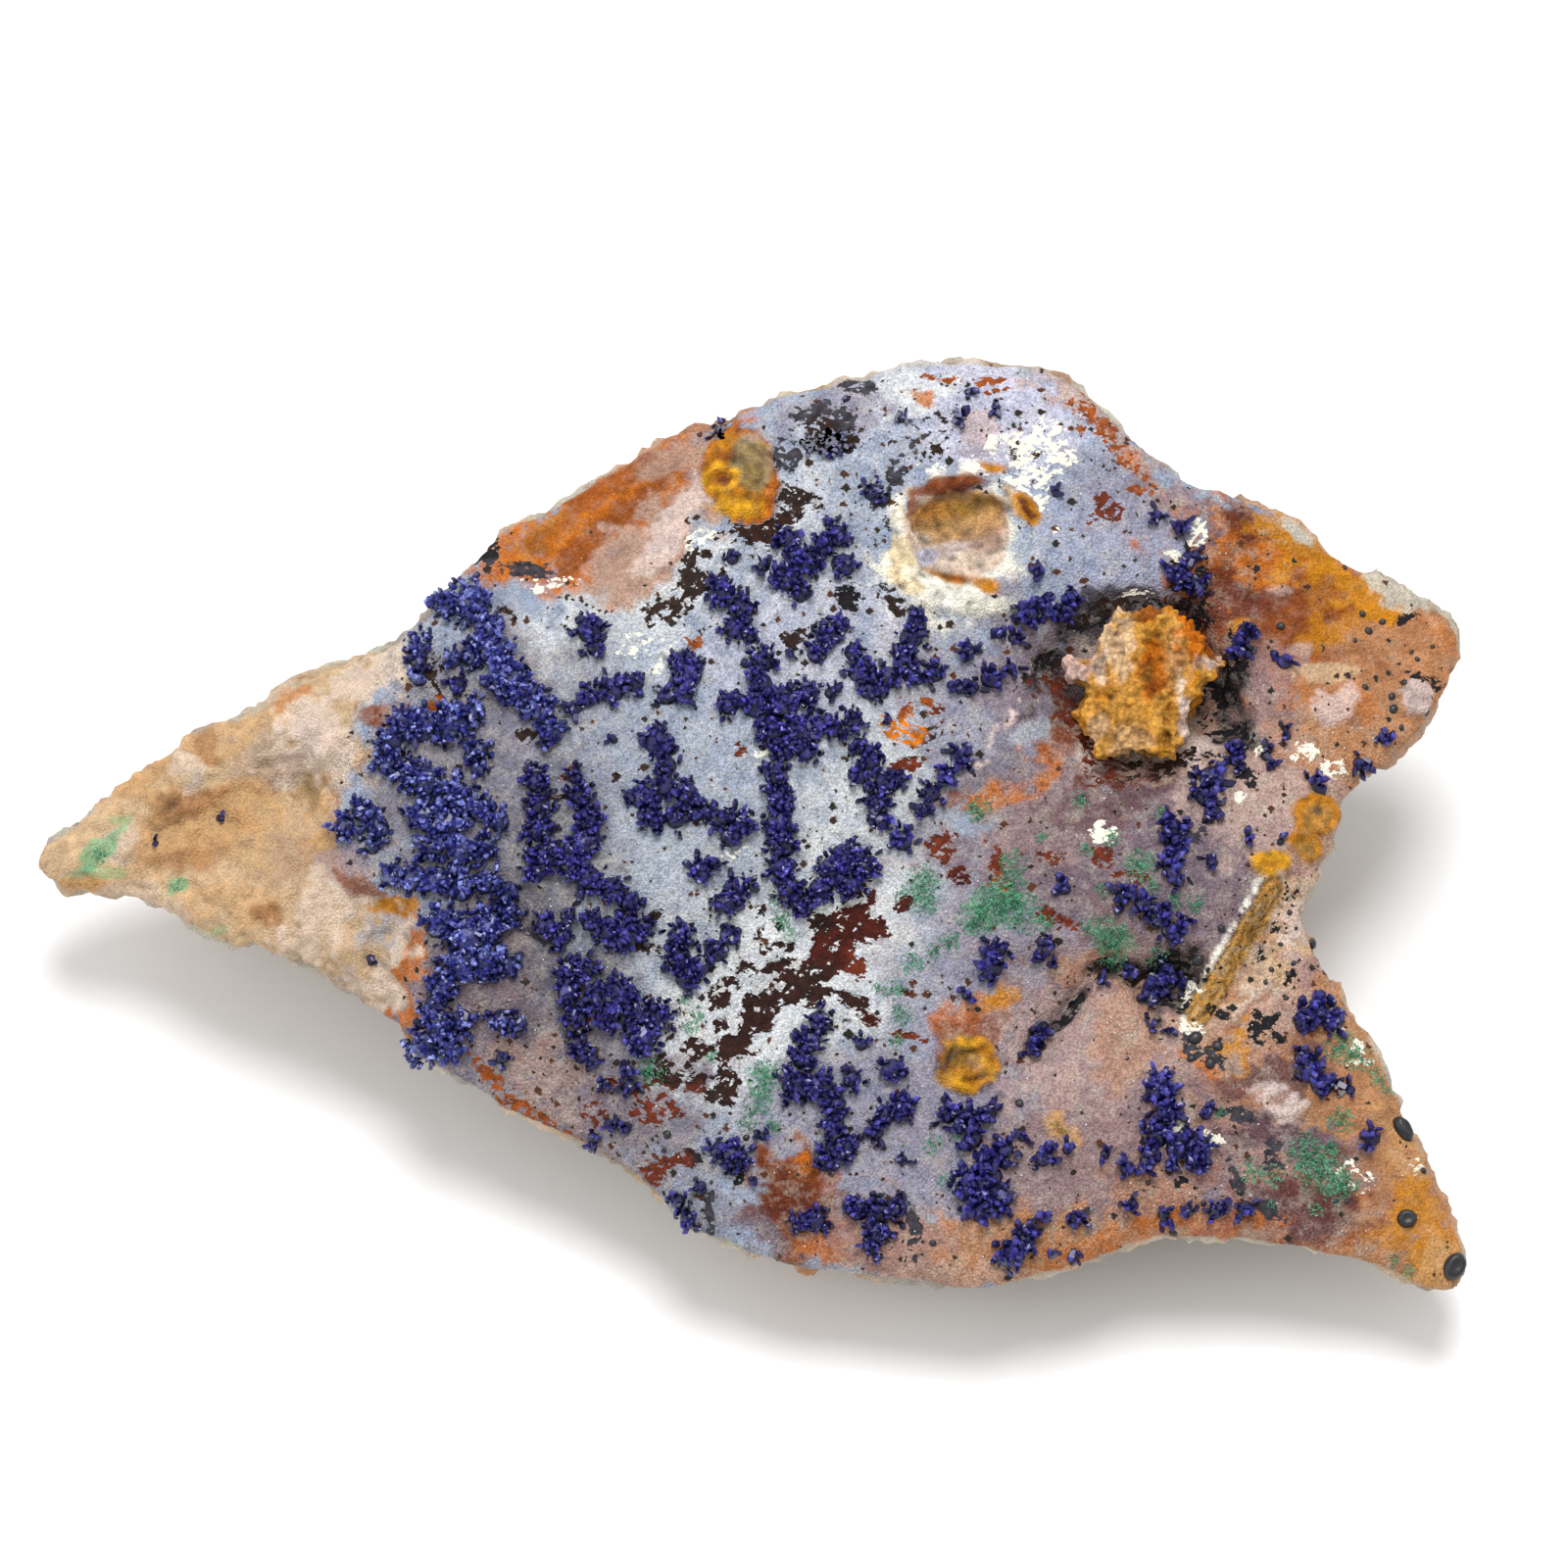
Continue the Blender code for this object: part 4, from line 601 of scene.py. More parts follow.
skin = laid_over(linear("crust blue"), tail, "cream")
for colour, centre_x, centre_y, long_radius, short_radius, turn, strength in SKIN:
    out = drawn_oval(centre_x, centre_y, long_radius, short_radius, turn)
    near = 0.35 if short_radius < 1.6 else 0.55
    amount = strength * smooth((1.0 - out + wander) / near + 0.5)
    skin = laid_over(skin, amount, colour)

inset_cover = np.zeros(len(rock_x))
drawn_x, drawn_y = rock_x + 0.18 * drift_x, rock_y + 0.18 * drift_y
for colour, centre_x, centre_y, long_radius, short_radius, turn, strength in INSETS:
    out = oval(drawn_x, drawn_y, centre_x, centre_y, long_radius, short_radius, turn)
    amount = strength * smooth((1.0 - out + 0.36 * wander) * short_radius / 0.35 + 0.5)
    skin = laid_over(skin, amount, colour)
    inset_cover = np.maximum(inset_cover, amount)

drawn_x, drawn_y = rock_x + 0.1 * drift_x, rock_y + 0.1 * drift_y
slip = path_distance(drawn_x, drawn_y, SLIP_FIBRES)
fibres = 0.8 + 0.45 * np.sin(slip * 13.0 + 4.0 * middling) + 0.25 * tiny
core = smooth((0.9 + 0.15 * middling - slip) / 0.2)
skin += core[:, None] * (linear("ochre") * fibres[:, None] - skin)
line = path_distance(drawn_x, drawn_y, CHALKY_LINE)
skin = laid_over(skin, 0.95 * smooth((0.17 + 0.3 * fine - line) / 0.16), "chalk")
mottled = 1.0 + 0.16 * fine + 0.16 * tiny + 0.12 * middling + inset_cover * (0.3 * fine + 0.4 * tiny - 0.14)
skin *= np.column_stack([mottled + 0.05 * middling, mottled, mottled - 0.05 * middling])

# The broken sides, with a stained rim along the lower edge of the face
side = np.tile(linear("quartz grey"), (len(rock_x), 1))
uneven = 0.5 * middling + 0.5 * fine + 0.25 * tiny
for colour, size, shift, contrast, level, strength in SIDE_CLOUDS:
    cloud = smooth(lumps(rock_points, size, shift) * contrast + uneven + level)
    side = laid_over(side, strength * cloud, colour)
side = laid_over(side, 0.6 * smooth((0.05 + 0.1 * uneven - cracks) / 0.05), "rust")
# The sides are painted darker in their scooped hollows and chips and lighter on the ridges between: painted
# shade and light, with a random tone
side *= (1.12 + 0.25 * fine + 0.25 * tiny - 0.5 * scoops - 0.5 * chips)[:, None]
rim = smooth(1.0 - np.abs(facing - 0.55) / 0.45) * smooth(0.5 + 2.0 * broad + 1.5 * middling)
rim *= smooth((rock_y - 58.0) / 8.0)
skin = laid_over(skin, 0.8 * rim, "cream")
skin = laid_over(skin, 0.9 * (rim * smooth(2.5 * middling + 1.5 * fine)), "orange")
skin = side + facing[:, None] * (skin - side)

# Shares of cover, from which the shader makes ragged gaps, powder, specks and sugary crust
# The gap share also carries painted shadow about the limonite block
gap_and_shadow_share = np.zeros(len(rock_x))
gap_and_shadow_colour = np.tile(linear("dark brown"), (len(rock_x), 1))
for colour, centre_x, centre_y, long_radius, short_radius, turn, strength in GAPS_AND_SHADOWS:
    out = drawn_oval(centre_x, centre_y, long_radius, short_radius, turn)
    amount = 1.12 * strength * smooth((1.6 - out + 0.4 * wander) / 1.15)
    gap_and_shadow_share = np.maximum(gap_and_shadow_share, amount * facing)
    gap_and_shadow_colour = laid_over(gap_and_shadow_colour, smooth((2.2 - out) / 0.6), colour)
gap_and_shadow_share *= 1.0 - inset_cover
powder_share = np.zeros(len(rock_x))
for centre_x, centre_y, long_radius, short_radius, turn, strength in POWDER:
    out = drawn_oval(centre_x, centre_y, long_radius, short_radius, turn)
    powder_share = np.maximum(powder_share, strength * facing * smooth((1.3 - out + wander) / 0.8))
powder_share *= 1.0 - inset_cover
speck_share = np.zeros(len(rock_x))
for centre_x, centre_y, long_radius, short_radius, turn, amount in SPECKS:
    inside = smooth((1.0 - oval(rock_x, rock_y, centre_x, centre_y, long_radius, short_radius, turn)) / 0.2)
    speck_share += inside * (amount * facing - speck_share)
speck_share *= (1.0 - tail) * (1.0 - inset_cover)
crust_share = facing * (1.0 - tail) * (1.0 - 0.8 * inset_cover)
for place in WAXY_QUARTZ:
    crust_share *= 1.0 - 0.6 * smooth((1.2 - oval(rock_x, rock_y, *place)) / 0.5)


def paint(mesh, name, values):
    """Stores a colour or a share for each vertex under a name that the shader reads."""
    if values.ndim == 2:
        layer = mesh.attributes.new(name, "FLOAT_COLOR", "POINT")
        layer.data.foreach_set("color", np.column_stack([values, np.ones(len(values))]).ravel())
    else:
        layer = mesh.attributes.new(name, "FLOAT", "POINT")
        layer.data.foreach_set("value", values)


paint(rock.data, "skin", skin)
paint(rock.data, "gap and shadow colour", gap_and_shadow_colour)
paint(rock.data, "gap and shadow share", gap_and_shadow_share)
paint(rock.data, "powder share", powder_share)
paint(rock.data, "speck share", speck_share)
paint(rock.data, "crust share", crust_share)


def node(tree, kind, inputs=(), **settings):
    """A node with its settings, each input joined to a socket or set to a value."""
    made = tree.nodes.new(kind)
    for name, value in settings.items():
        setattr(made, name, value)
    for key, value in dict(inputs).items():
        if isinstance(value, bpy.types.NodeSocket):
            tree.links.new(value, made.inputs[key])
        else:
            made.inputs[key].default_value = value
    return made


def colour_mix(tree, share, first, second):
    """The first colour with a share of the second over it."""
    mixed = node(tree, "ShaderNodeMix", {0: share, 6: first, 7: second}, data_type="RGBA")
    return mixed.outputs[2]


def effect(name, inputs, outputs):
    """An empty shader group with named sockets, each given as a name, a socket type and a default."""
    group = bpy.data.node_groups.new(name, "ShaderNodeTree")
    for label, kind, default in inputs:
        group.interface.new_socket(label, in_out="INPUT", socket_type=kind).default_value = default
    for label, kind in outputs:
        group.interface.new_socket(label, in_out="OUTPUT", socket_type=kind)
    start = group.nodes.new("NodeGroupInput")
    return group, start.outputs, group.nodes.new("NodeGroupOutput").inputs


def stone_place(tree, size, stretch=(1.0, 1.0, 1.0), turn=0.0):
    """Places on the piece along the chart's axes, in steps of a size in mm, stretched along a turned axis."""
    place = node(tree, "ShaderNodeTexCoord").outputs["Object"]
    level = node(tree, "ShaderNodeMapping", {"Vector": place}, vector_type="TEXTURE")
    level.inputs["Rotation"].default_value = (CHART_LEAN, 0.0, 0.0)
    steps = node(tree, "ShaderNodeMapping", {"Vector": level.outputs[0]}, vector_type="TEXTURE")
    steps.inputs["Rotation"].default_value = (0.0, 0.0, math.radians(turn))
    steps.inputs["Scale"].default_value = [size * MM * share for share in stretch]
    return steps.outputs[0]


def toned(tree, colour, tone):
    """A colour made brighter or darker by a tone."""
    return node(tree, "ShaderNodeVectorMath", {0: colour, "Scale": tone}, operation="SCALE").outputs[0]


def cell_picks(tree, cells):
    """Three random values, each the same all over a cell."""
    return node(tree, "ShaderNodeSeparateColor", {0: cells.outputs["Color"]}).outputs


def calculate(tree, operation, first, second):
    return node(tree, "ShaderNodeMath", {0: first, 1: second}, operation=operation).outputs[0]


def ranged(tree, value, low, high, to_low=0.0, to_high=1.0):
    """A value carried from one range to another and held within it."""
    inputs = {"Value": value, "From Min": low, "From Max": high, "To Min": to_low, "To Max": to_high}
    return node(tree, "ShaderNodeMapRange", inputs).outputs[0]


def shaken(tree, place, scale, amount):
    """A place pushed about by noise, so that straight edges turn thorny."""
    noise_node = node(tree, "ShaderNodeTexNoise", {"Vector": place, "Scale": scale, "Detail": 2.0})
    about_zero = {0: noise_node.outputs["Color"], 1: (0.5, 0.5, 0.5)}
    push = node(tree, "ShaderNodeVectorMath", about_zero, operation="SUBTRACT").outputs[0]
    push = toned(tree, push, amount)
    return node(tree, "ShaderNodeVectorMath", {0: place, 1: push}).outputs[0]


# Shared effect: gaps and powder whose shares of cover end in ragged, crystalline edges
ragged, given, result = effect(
    "ragged patches",
    [("Gaps", "NodeSocketFloat", 0.5), ("Powder", "NodeSocketFloat", 0.5)],
    [("Bare", "NodeSocketFloat"), ("White", "NodeSocketFloat")],
)
place = shaken(ragged, stone_place(ragged, 0.42, (2.2, 0.8, 1.0), 42.0), 1.2, 0.5)
flakes = node(ragged, "ShaderNodeTexVoronoi", {"Vector": place, "Scale": 1.0})
first = cell_picks(ragged, flakes)[0]
place = shaken(ragged, stone_place(ragged, 0.3, (1.8, 0.8, 1.0), -25.0), 1.2, 0.6)
flakes = node(ragged, "ShaderNodeTexVoronoi", {"Vector": place, "Scale": 1.0})
second = cell_picks(ragged, flakes)[1]
dust = node(ragged, "ShaderNodeTexNoise", {"Vector": stone_place(ragged, 0.25), "Scale": 1.0, "Detail": 2.0})
rough = calculate(ragged, "ADD", first, second)
rough = calculate(ragged, "ADD", rough, dust.outputs["Fac"])
rough = calculate(ragged, "SUBTRACT", rough, 1.5)
for share, mask, spread in (("Gaps", "Bare", 0.82), ("Powder", "White", 0.6)):
    reach = ranged(ragged, given[share], 0.02, 0.25, 0.0, spread)
    total = calculate(ragged, "ADD", given[share], calculate(ragged, "MULTIPLY", rough, reach))
    ragged.links.new(ranged(ragged, total, 0.5, 0.56), result[mask])

# Shared effect: angular specks of different sizes in a share of the cells, with a softer ring about each
specks, given, result = effect(
    "scattered specks",
    [("Share", "NodeSocketFloat", 0.3), ("Spacing", "NodeSocketFloat", 1.0)],
    [("Mask", "NodeSocketFloat"), ("Ring", "NodeSocketFloat"), ("Kind", "NodeSocketFloat")],
)
place = shaken(specks, stone_place(specks, 1.0), 3.6, 0.34)
scale = calculate(specks, "DIVIDE", 1.0, given["Spacing"])
cells = node(specks, "ShaderNodeTexVoronoi", {"Vector": place, "Scale": scale}, distance="MANHATTAN")
picks = cell_picks(specks, cells)
swarm = node(specks, "ShaderNodeTexNoise", {"Vector": stone_place(specks, 2.6), "Scale": 1.0, "Detail": 1.0})
swarm = ranged(specks, swarm.outputs["Fac"], 0.35, 0.7, 0.25, 1.9)
share = calculate(specks, "MULTIPLY", given["Share"], swarm)
present = calculate(specks, "LESS_THAN", picks[0], share)
size = ranged(specks, picks[1], 0.0, 1.0, 0.16, 0.52)
size = calculate(specks, "MULTIPLY", size, present)
inside = calculate(specks, "SUBTRACT", size, cells.outputs["Distance"])
specks.links.new(ranged(specks, inside, 0.0, 0.05), result["Mask"])
specks.links.new(ranged(specks, calculate(specks, "ADD", inside, 0.16), 0.0, 0.2), result["Ring"])
specks.links.new(picks[2], result["Kind"])

# Shared effect: the sugary grain of fine crystals, as a height, with a tone, partly random and partly painted
# shade, and rare painted glints
GLINTING_ABOVE = 0.994
grain, given, result = effect(
    "sugary grain",
    [("Grain", "NodeSocketFloat", 0.22)],
    [("Height", "NodeSocketFloat"), ("Tone and shade", "NodeSocketFloat"), ("Glint", "NodeSocketFloat")],
)
place = stone_place(grain, 1.0)
scale = calculate(grain, "DIVIDE", 1.0, given["Grain"])
cells = node(grain, "ShaderNodeTexVoronoi", {"Vector": place, "Scale": scale})
sand = node(grain, "ShaderNodeTexNoise", {"Vector": place, "Scale": 3.2, "Detail": 4.0, "Roughness": 0.8})
mound = calculate(grain, "SUBTRACT", 1.0, cells.outputs["Distance"])
grain.links.new(calculate(grain, "ADD", mound, sand.outputs["Fac"]), result["Height"])
picks = cell_picks(grain, cells)
# The tone follows the grain's height, so it is painted shade where the grain lies low, with a random share
# from cell to cell
tone = calculate(grain, "MULTIPLY", picks[0], 0.5)
tone = calculate(grain, "ADD", tone, mound)
grain.links.new(calculate(grain, "ADD", tone, sand.outputs["Fac"]), result["Tone and shade"])
lit = calculate(grain, "GREATER_THAN", picks[1], GLINTING_ABOVE)
close = calculate(grain, "LESS_THAN", cells.outputs["Distance"], 0.32)
grain.links.new(calculate(grain, "MULTIPLY", lit, close), result["Glint"])


def new_material(name):
    material = bpy.data.materials.new(name)
    material.use_nodes = True
    return material, material.node_tree, material.node_tree.nodes["Principled BSDF"]


def use_effect(tree, group, **values):
    """The outputs of a shared effect placed in a material with its own values."""
    return node(tree, "ShaderNodeGroup", values, node_tree=group).outputs


def painted(tree, name):
    """What was painted on the piece's corners under a name."""
    return node(tree, "ShaderNodeAttribute", attribute_name=name).outputs


CRUST_BUFF = (0.50, 0.46, 0.38, 1.0)
CRUST_SHADE = (0.45, 0.45, 0.50, 1.0)
BLACK_SPECK = (0.020, 0.017, 0.014, 1.0)
BROWN_SPECK = (0.085, 0.028, 0.012, 1.0)
SPECK_STAIN = (0.20, 0.15, 0.10, 1.0)
WHITE_POWDER = (0.84, 0.81, 0.68, 1.0)
CRYSTAL_GLINT = (0.9, 0.93, 1.0, 1.0)
# The spacing of the specks in mm, and how many of their places are taken up
COARSE_SPECKS, FINE_SPECKS = (0.85, 0.8), (0.42, 0.5)
CRUST_GRAIN, CRUST_GRAIN_DEPTH = 0.16, 0.1
stone, tree, shader = new_material("weathered quartz rock")
sugar = use_effect(tree, grain, Grain=CRUST_GRAIN)
crust = painted(tree, "crust share")["Fac"]
colour = painted(tree, "skin")["Color"]
patchy = {"Vector": stone_place(tree, 1.1), "Scale": 1.0, "Detail": 4.0, "Roughness": 0.75}
mottle = node(tree, "ShaderNodeTexNoise", patchy)
warm = ranged(tree, mottle.outputs["Fac"], 0.48, 0.72, 0.0, 0.55)
colour = colour_mix(tree, calculate(tree, "MULTIPLY", warm, crust), colour, CRUST_BUFF)
cool = ranged(tree, mottle.outputs["Fac"], 0.50, 0.28, 0.0, 0.4)
deeper = node(tree, "ShaderNodeMix", {0: cool, 6: colour, 7: CRUST_SHADE}, data_type="RGBA")
deeper.blend_type = "MULTIPLY"
colour = deeper.outputs[2]
low_tone = ranged(tree, crust, 0.0, 1.0, 0.74, 0.62)
high_tone = ranged(tree, crust, 0.0, 1.0, 1.04, 1.2)
# The grain's tone: painted shade where the crust's grain lies low, with a random share from grain to grain
tone = ranged(tree, sugar["Tone and shade"], 0.85, 1.7, low_tone, high_tone)
colour = toned(tree, colour, tone)
speck_share = painted(tree, "speck share")["Fac"]
for spacing, share in (COARSE_SPECKS, FINE_SPECKS):
    amount = calculate(tree, "MULTIPLY", speck_share, share)
    dots = use_effect(tree, specks, Share=amount, Spacing=spacing)
    speck_colour = colour_mix(tree, ranged(tree, dots["Kind"], 0.45, 0.75), BLACK_SPECK, BROWN_SPECK)
    ring = calculate(tree, "MULTIPLY", dots["Ring"], 0.4)
    colour = colour_mix(tree, ring, colour, SPECK_STAIN)
    colour = colour_mix(tree, dots["Mask"], colour, speck_colour)
# Gaps show the darker rock beneath, and about the limonite block they also lay painted shadow
gaps = painted(tree, "gap and shadow share")["Fac"]
patches = use_effect(tree, ragged, Gaps=gaps, Powder=painted(tree, "powder share")["Fac"])
under = painted(tree, "gap and shadow colour")["Color"]
blotch = node(tree, "ShaderNodeTexNoise", {"Vector": stone_place(tree, 0.5), "Scale": 1.0, "Detail": 2.0})
under = toned(tree, under, ranged(tree, blotch.outputs["Fac"], 0.3, 0.7, 0.55, 1.7))
colour = colour_mix(tree, patches["Bare"], colour, under)
colour = colour_mix(tree, patches["White"], colour, WHITE_POWDER)
# Rare glints painted into the crust's colour as small white spots: painted highlights
glint = calculate(tree, "MULTIPLY", sugar["Glint"], crust)
glint = calculate(tree, "MULTIPLY", glint, 0.7)
colour = colour_mix(tree, glint, colour, CRYSTAL_GLINT)
tree.links.new(colour, shader.inputs["Base Color"])
tree.links.new(ranged(tree, sugar["Tone and shade"], 0.8, 1.7, 0.85, 0.55), shader.inputs["Roughness"])
shader.inputs["Specular IOR Level"].default_value = 0.2
surface = calculate(tree, "ADD", sugar["Height"], ranged(tree, gaps, 0.4, 0.7, 1.2, 0.0))
bump = node(tree, "ShaderNodeBump", {"Strength": 1.0, "Distance": CRUST_GRAIN_DEPTH * MM, "Height": surface})
tree.links.new(bump.outputs[0], shader.inputs["Normal"])
rock.data.materials.clear()
rock.data.materials.append(stone)
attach(rock, "root")
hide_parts("matrix")


# The limonite block: a spongy yellow-brown lump that stands in a cavity of the face.
# It is soft iron oxide with pale quartz along its edges, and its base is grown into the rock.

BLOCK_SQUARE = 0.14
SPONGE_GRAIN, SPONGE_GRAIN_DEPTH = 0.3, 0.12
# The colours of the block, laid on in order: colour, place, width, height, strength
BLOCK_COLOURS = [
    ("ochre", 72.6, 46.0, 2.6, 2.6, 0.6), ("orange", 73.8, 42.6, 1.3, 2.2, 0.9),
    ("rust", 73.4, 43.4, 0.5, 0.9, 0.6), ("cream", 71.3, 41.0, 1.3, 2.8, 0.95),
    ("bone", 70.2, 42.6, 0.6, 1.4, 0.8), ("pale pink", 68.6, 42.8, 1.2, 1.4, 0.95),
    ("cream", 70.0, 46.4, 0.7, 1.4, 0.7), ("tan", 75.0, 42.0, 0.9, 2.6, 0.8),
    ("cream", 71.8, 47.2, 1.6, 1.4, 0.5), ("orange", 76.8, 40.2, 1.8, 1.8, 1),
    ("rust", 77.6, 40.8, 0.8, 1.4, 0.8), ("pink white", 77.2, 42.3, 0.9, 0.6, 1),
    ("rust", 77.4, 44.4, 1.0, 0.8, 0.8), ("pink white", 75.6, 46.2, 0.5, 2.2, 0.9),
    ("bone", 75.3, 43.6, 0.4, 0.9, 0.8), ("rust", 73.4, 39.0, 1.2, 0.6, 0.8),
    ("dark rust", 72.9, 48.4, 0.9, 0.5, 0.8),
]

block = shown_object("limonite_sponge", merged_copy("limonite_block"))
add_even_squares(block, BLOCK_SQUARE)
add_worn_corners(block, 4)
settle_modifiers(block)
block_points = vertex_points(block.data)
pits = lumps(block_points, 0.8, 2.0) * 0.4 + lumps(block_points, 0.42, 6.0) * 0.34
pits += lumps(block_points, 2.2, 4.0) * 0.3 - 0.4 * np.abs(lumps(block_points, 1.2, 9.0))
upright = np.array((3.0, 1.0, 1.0))
pits += 0.5 * lumps(block_points * upright, 2.0, 15.0)
block_x, block_y = chart_places(block_points)
block_points += vertex_normals(block.data) * (pits * MM)[:, None]
reshape(block, block_points)
streaks = lumps(block_points * upright, 2.2, 3.0)
speckle = 0.6 * lumps(block_points, 0.9, 3.0) + 0.5 * streaks
body = np.tile(linear("gold"), (len(block_x), 1))
body = laid_over(body, 0.9 * smooth(speckle * 2.0 + 0.6), "ochre")
for colour, centre_x, centre_y, wide, high, strength in BLOCK_COLOURS:
    out = oval(block_x, block_y, centre_x, centre_y, wide, high) + speckle
    body = laid_over(body, strength * smooth((1.1 - out) / 0.6), colour)
# The block is painted lighter where its surface stands out and darker in its pits: painted light and shade
body *= (0.95 + 0.7 * pits)[:, None]
paint(block.data, "skin", np.clip(body, 0.0, 1.0))

sponge, tree, shader = new_material("spongy limonite")
sugar = use_effect(tree, grain, Grain=SPONGE_GRAIN)
# The grain's tone: painted shade where the sponge's grain lies low, with a random share
tone = ranged(tree, sugar["Tone and shade"], 0.75, 1.75, 0.6, 1.35)
tree.links.new(toned(tree, painted(tree, "skin")["Color"], tone), shader.inputs["Base Color"])
shader.inputs["Roughness"].default_value = 0.85
shader.inputs["Specular IOR Level"].default_value = 0.15
pores = {"Strength": 1.0, "Distance": SPONGE_GRAIN_DEPTH * MM, "Height": sugar["Height"]}
bump = node(tree, "ShaderNodeBump", pores)
tree.links.new(bump.outputs[0], shader.inputs["Normal"])
block.data.materials.clear()
block.data.materials.append(sponge)
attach(block, "root")
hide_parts("limonite_block")


# The azurite: dark blue bladed crystals under a millimetre long, grown together in bushy clusters.
# Each cluster is rooted on the crust of the face. The clusters nearest the tail have a frosted bloom.

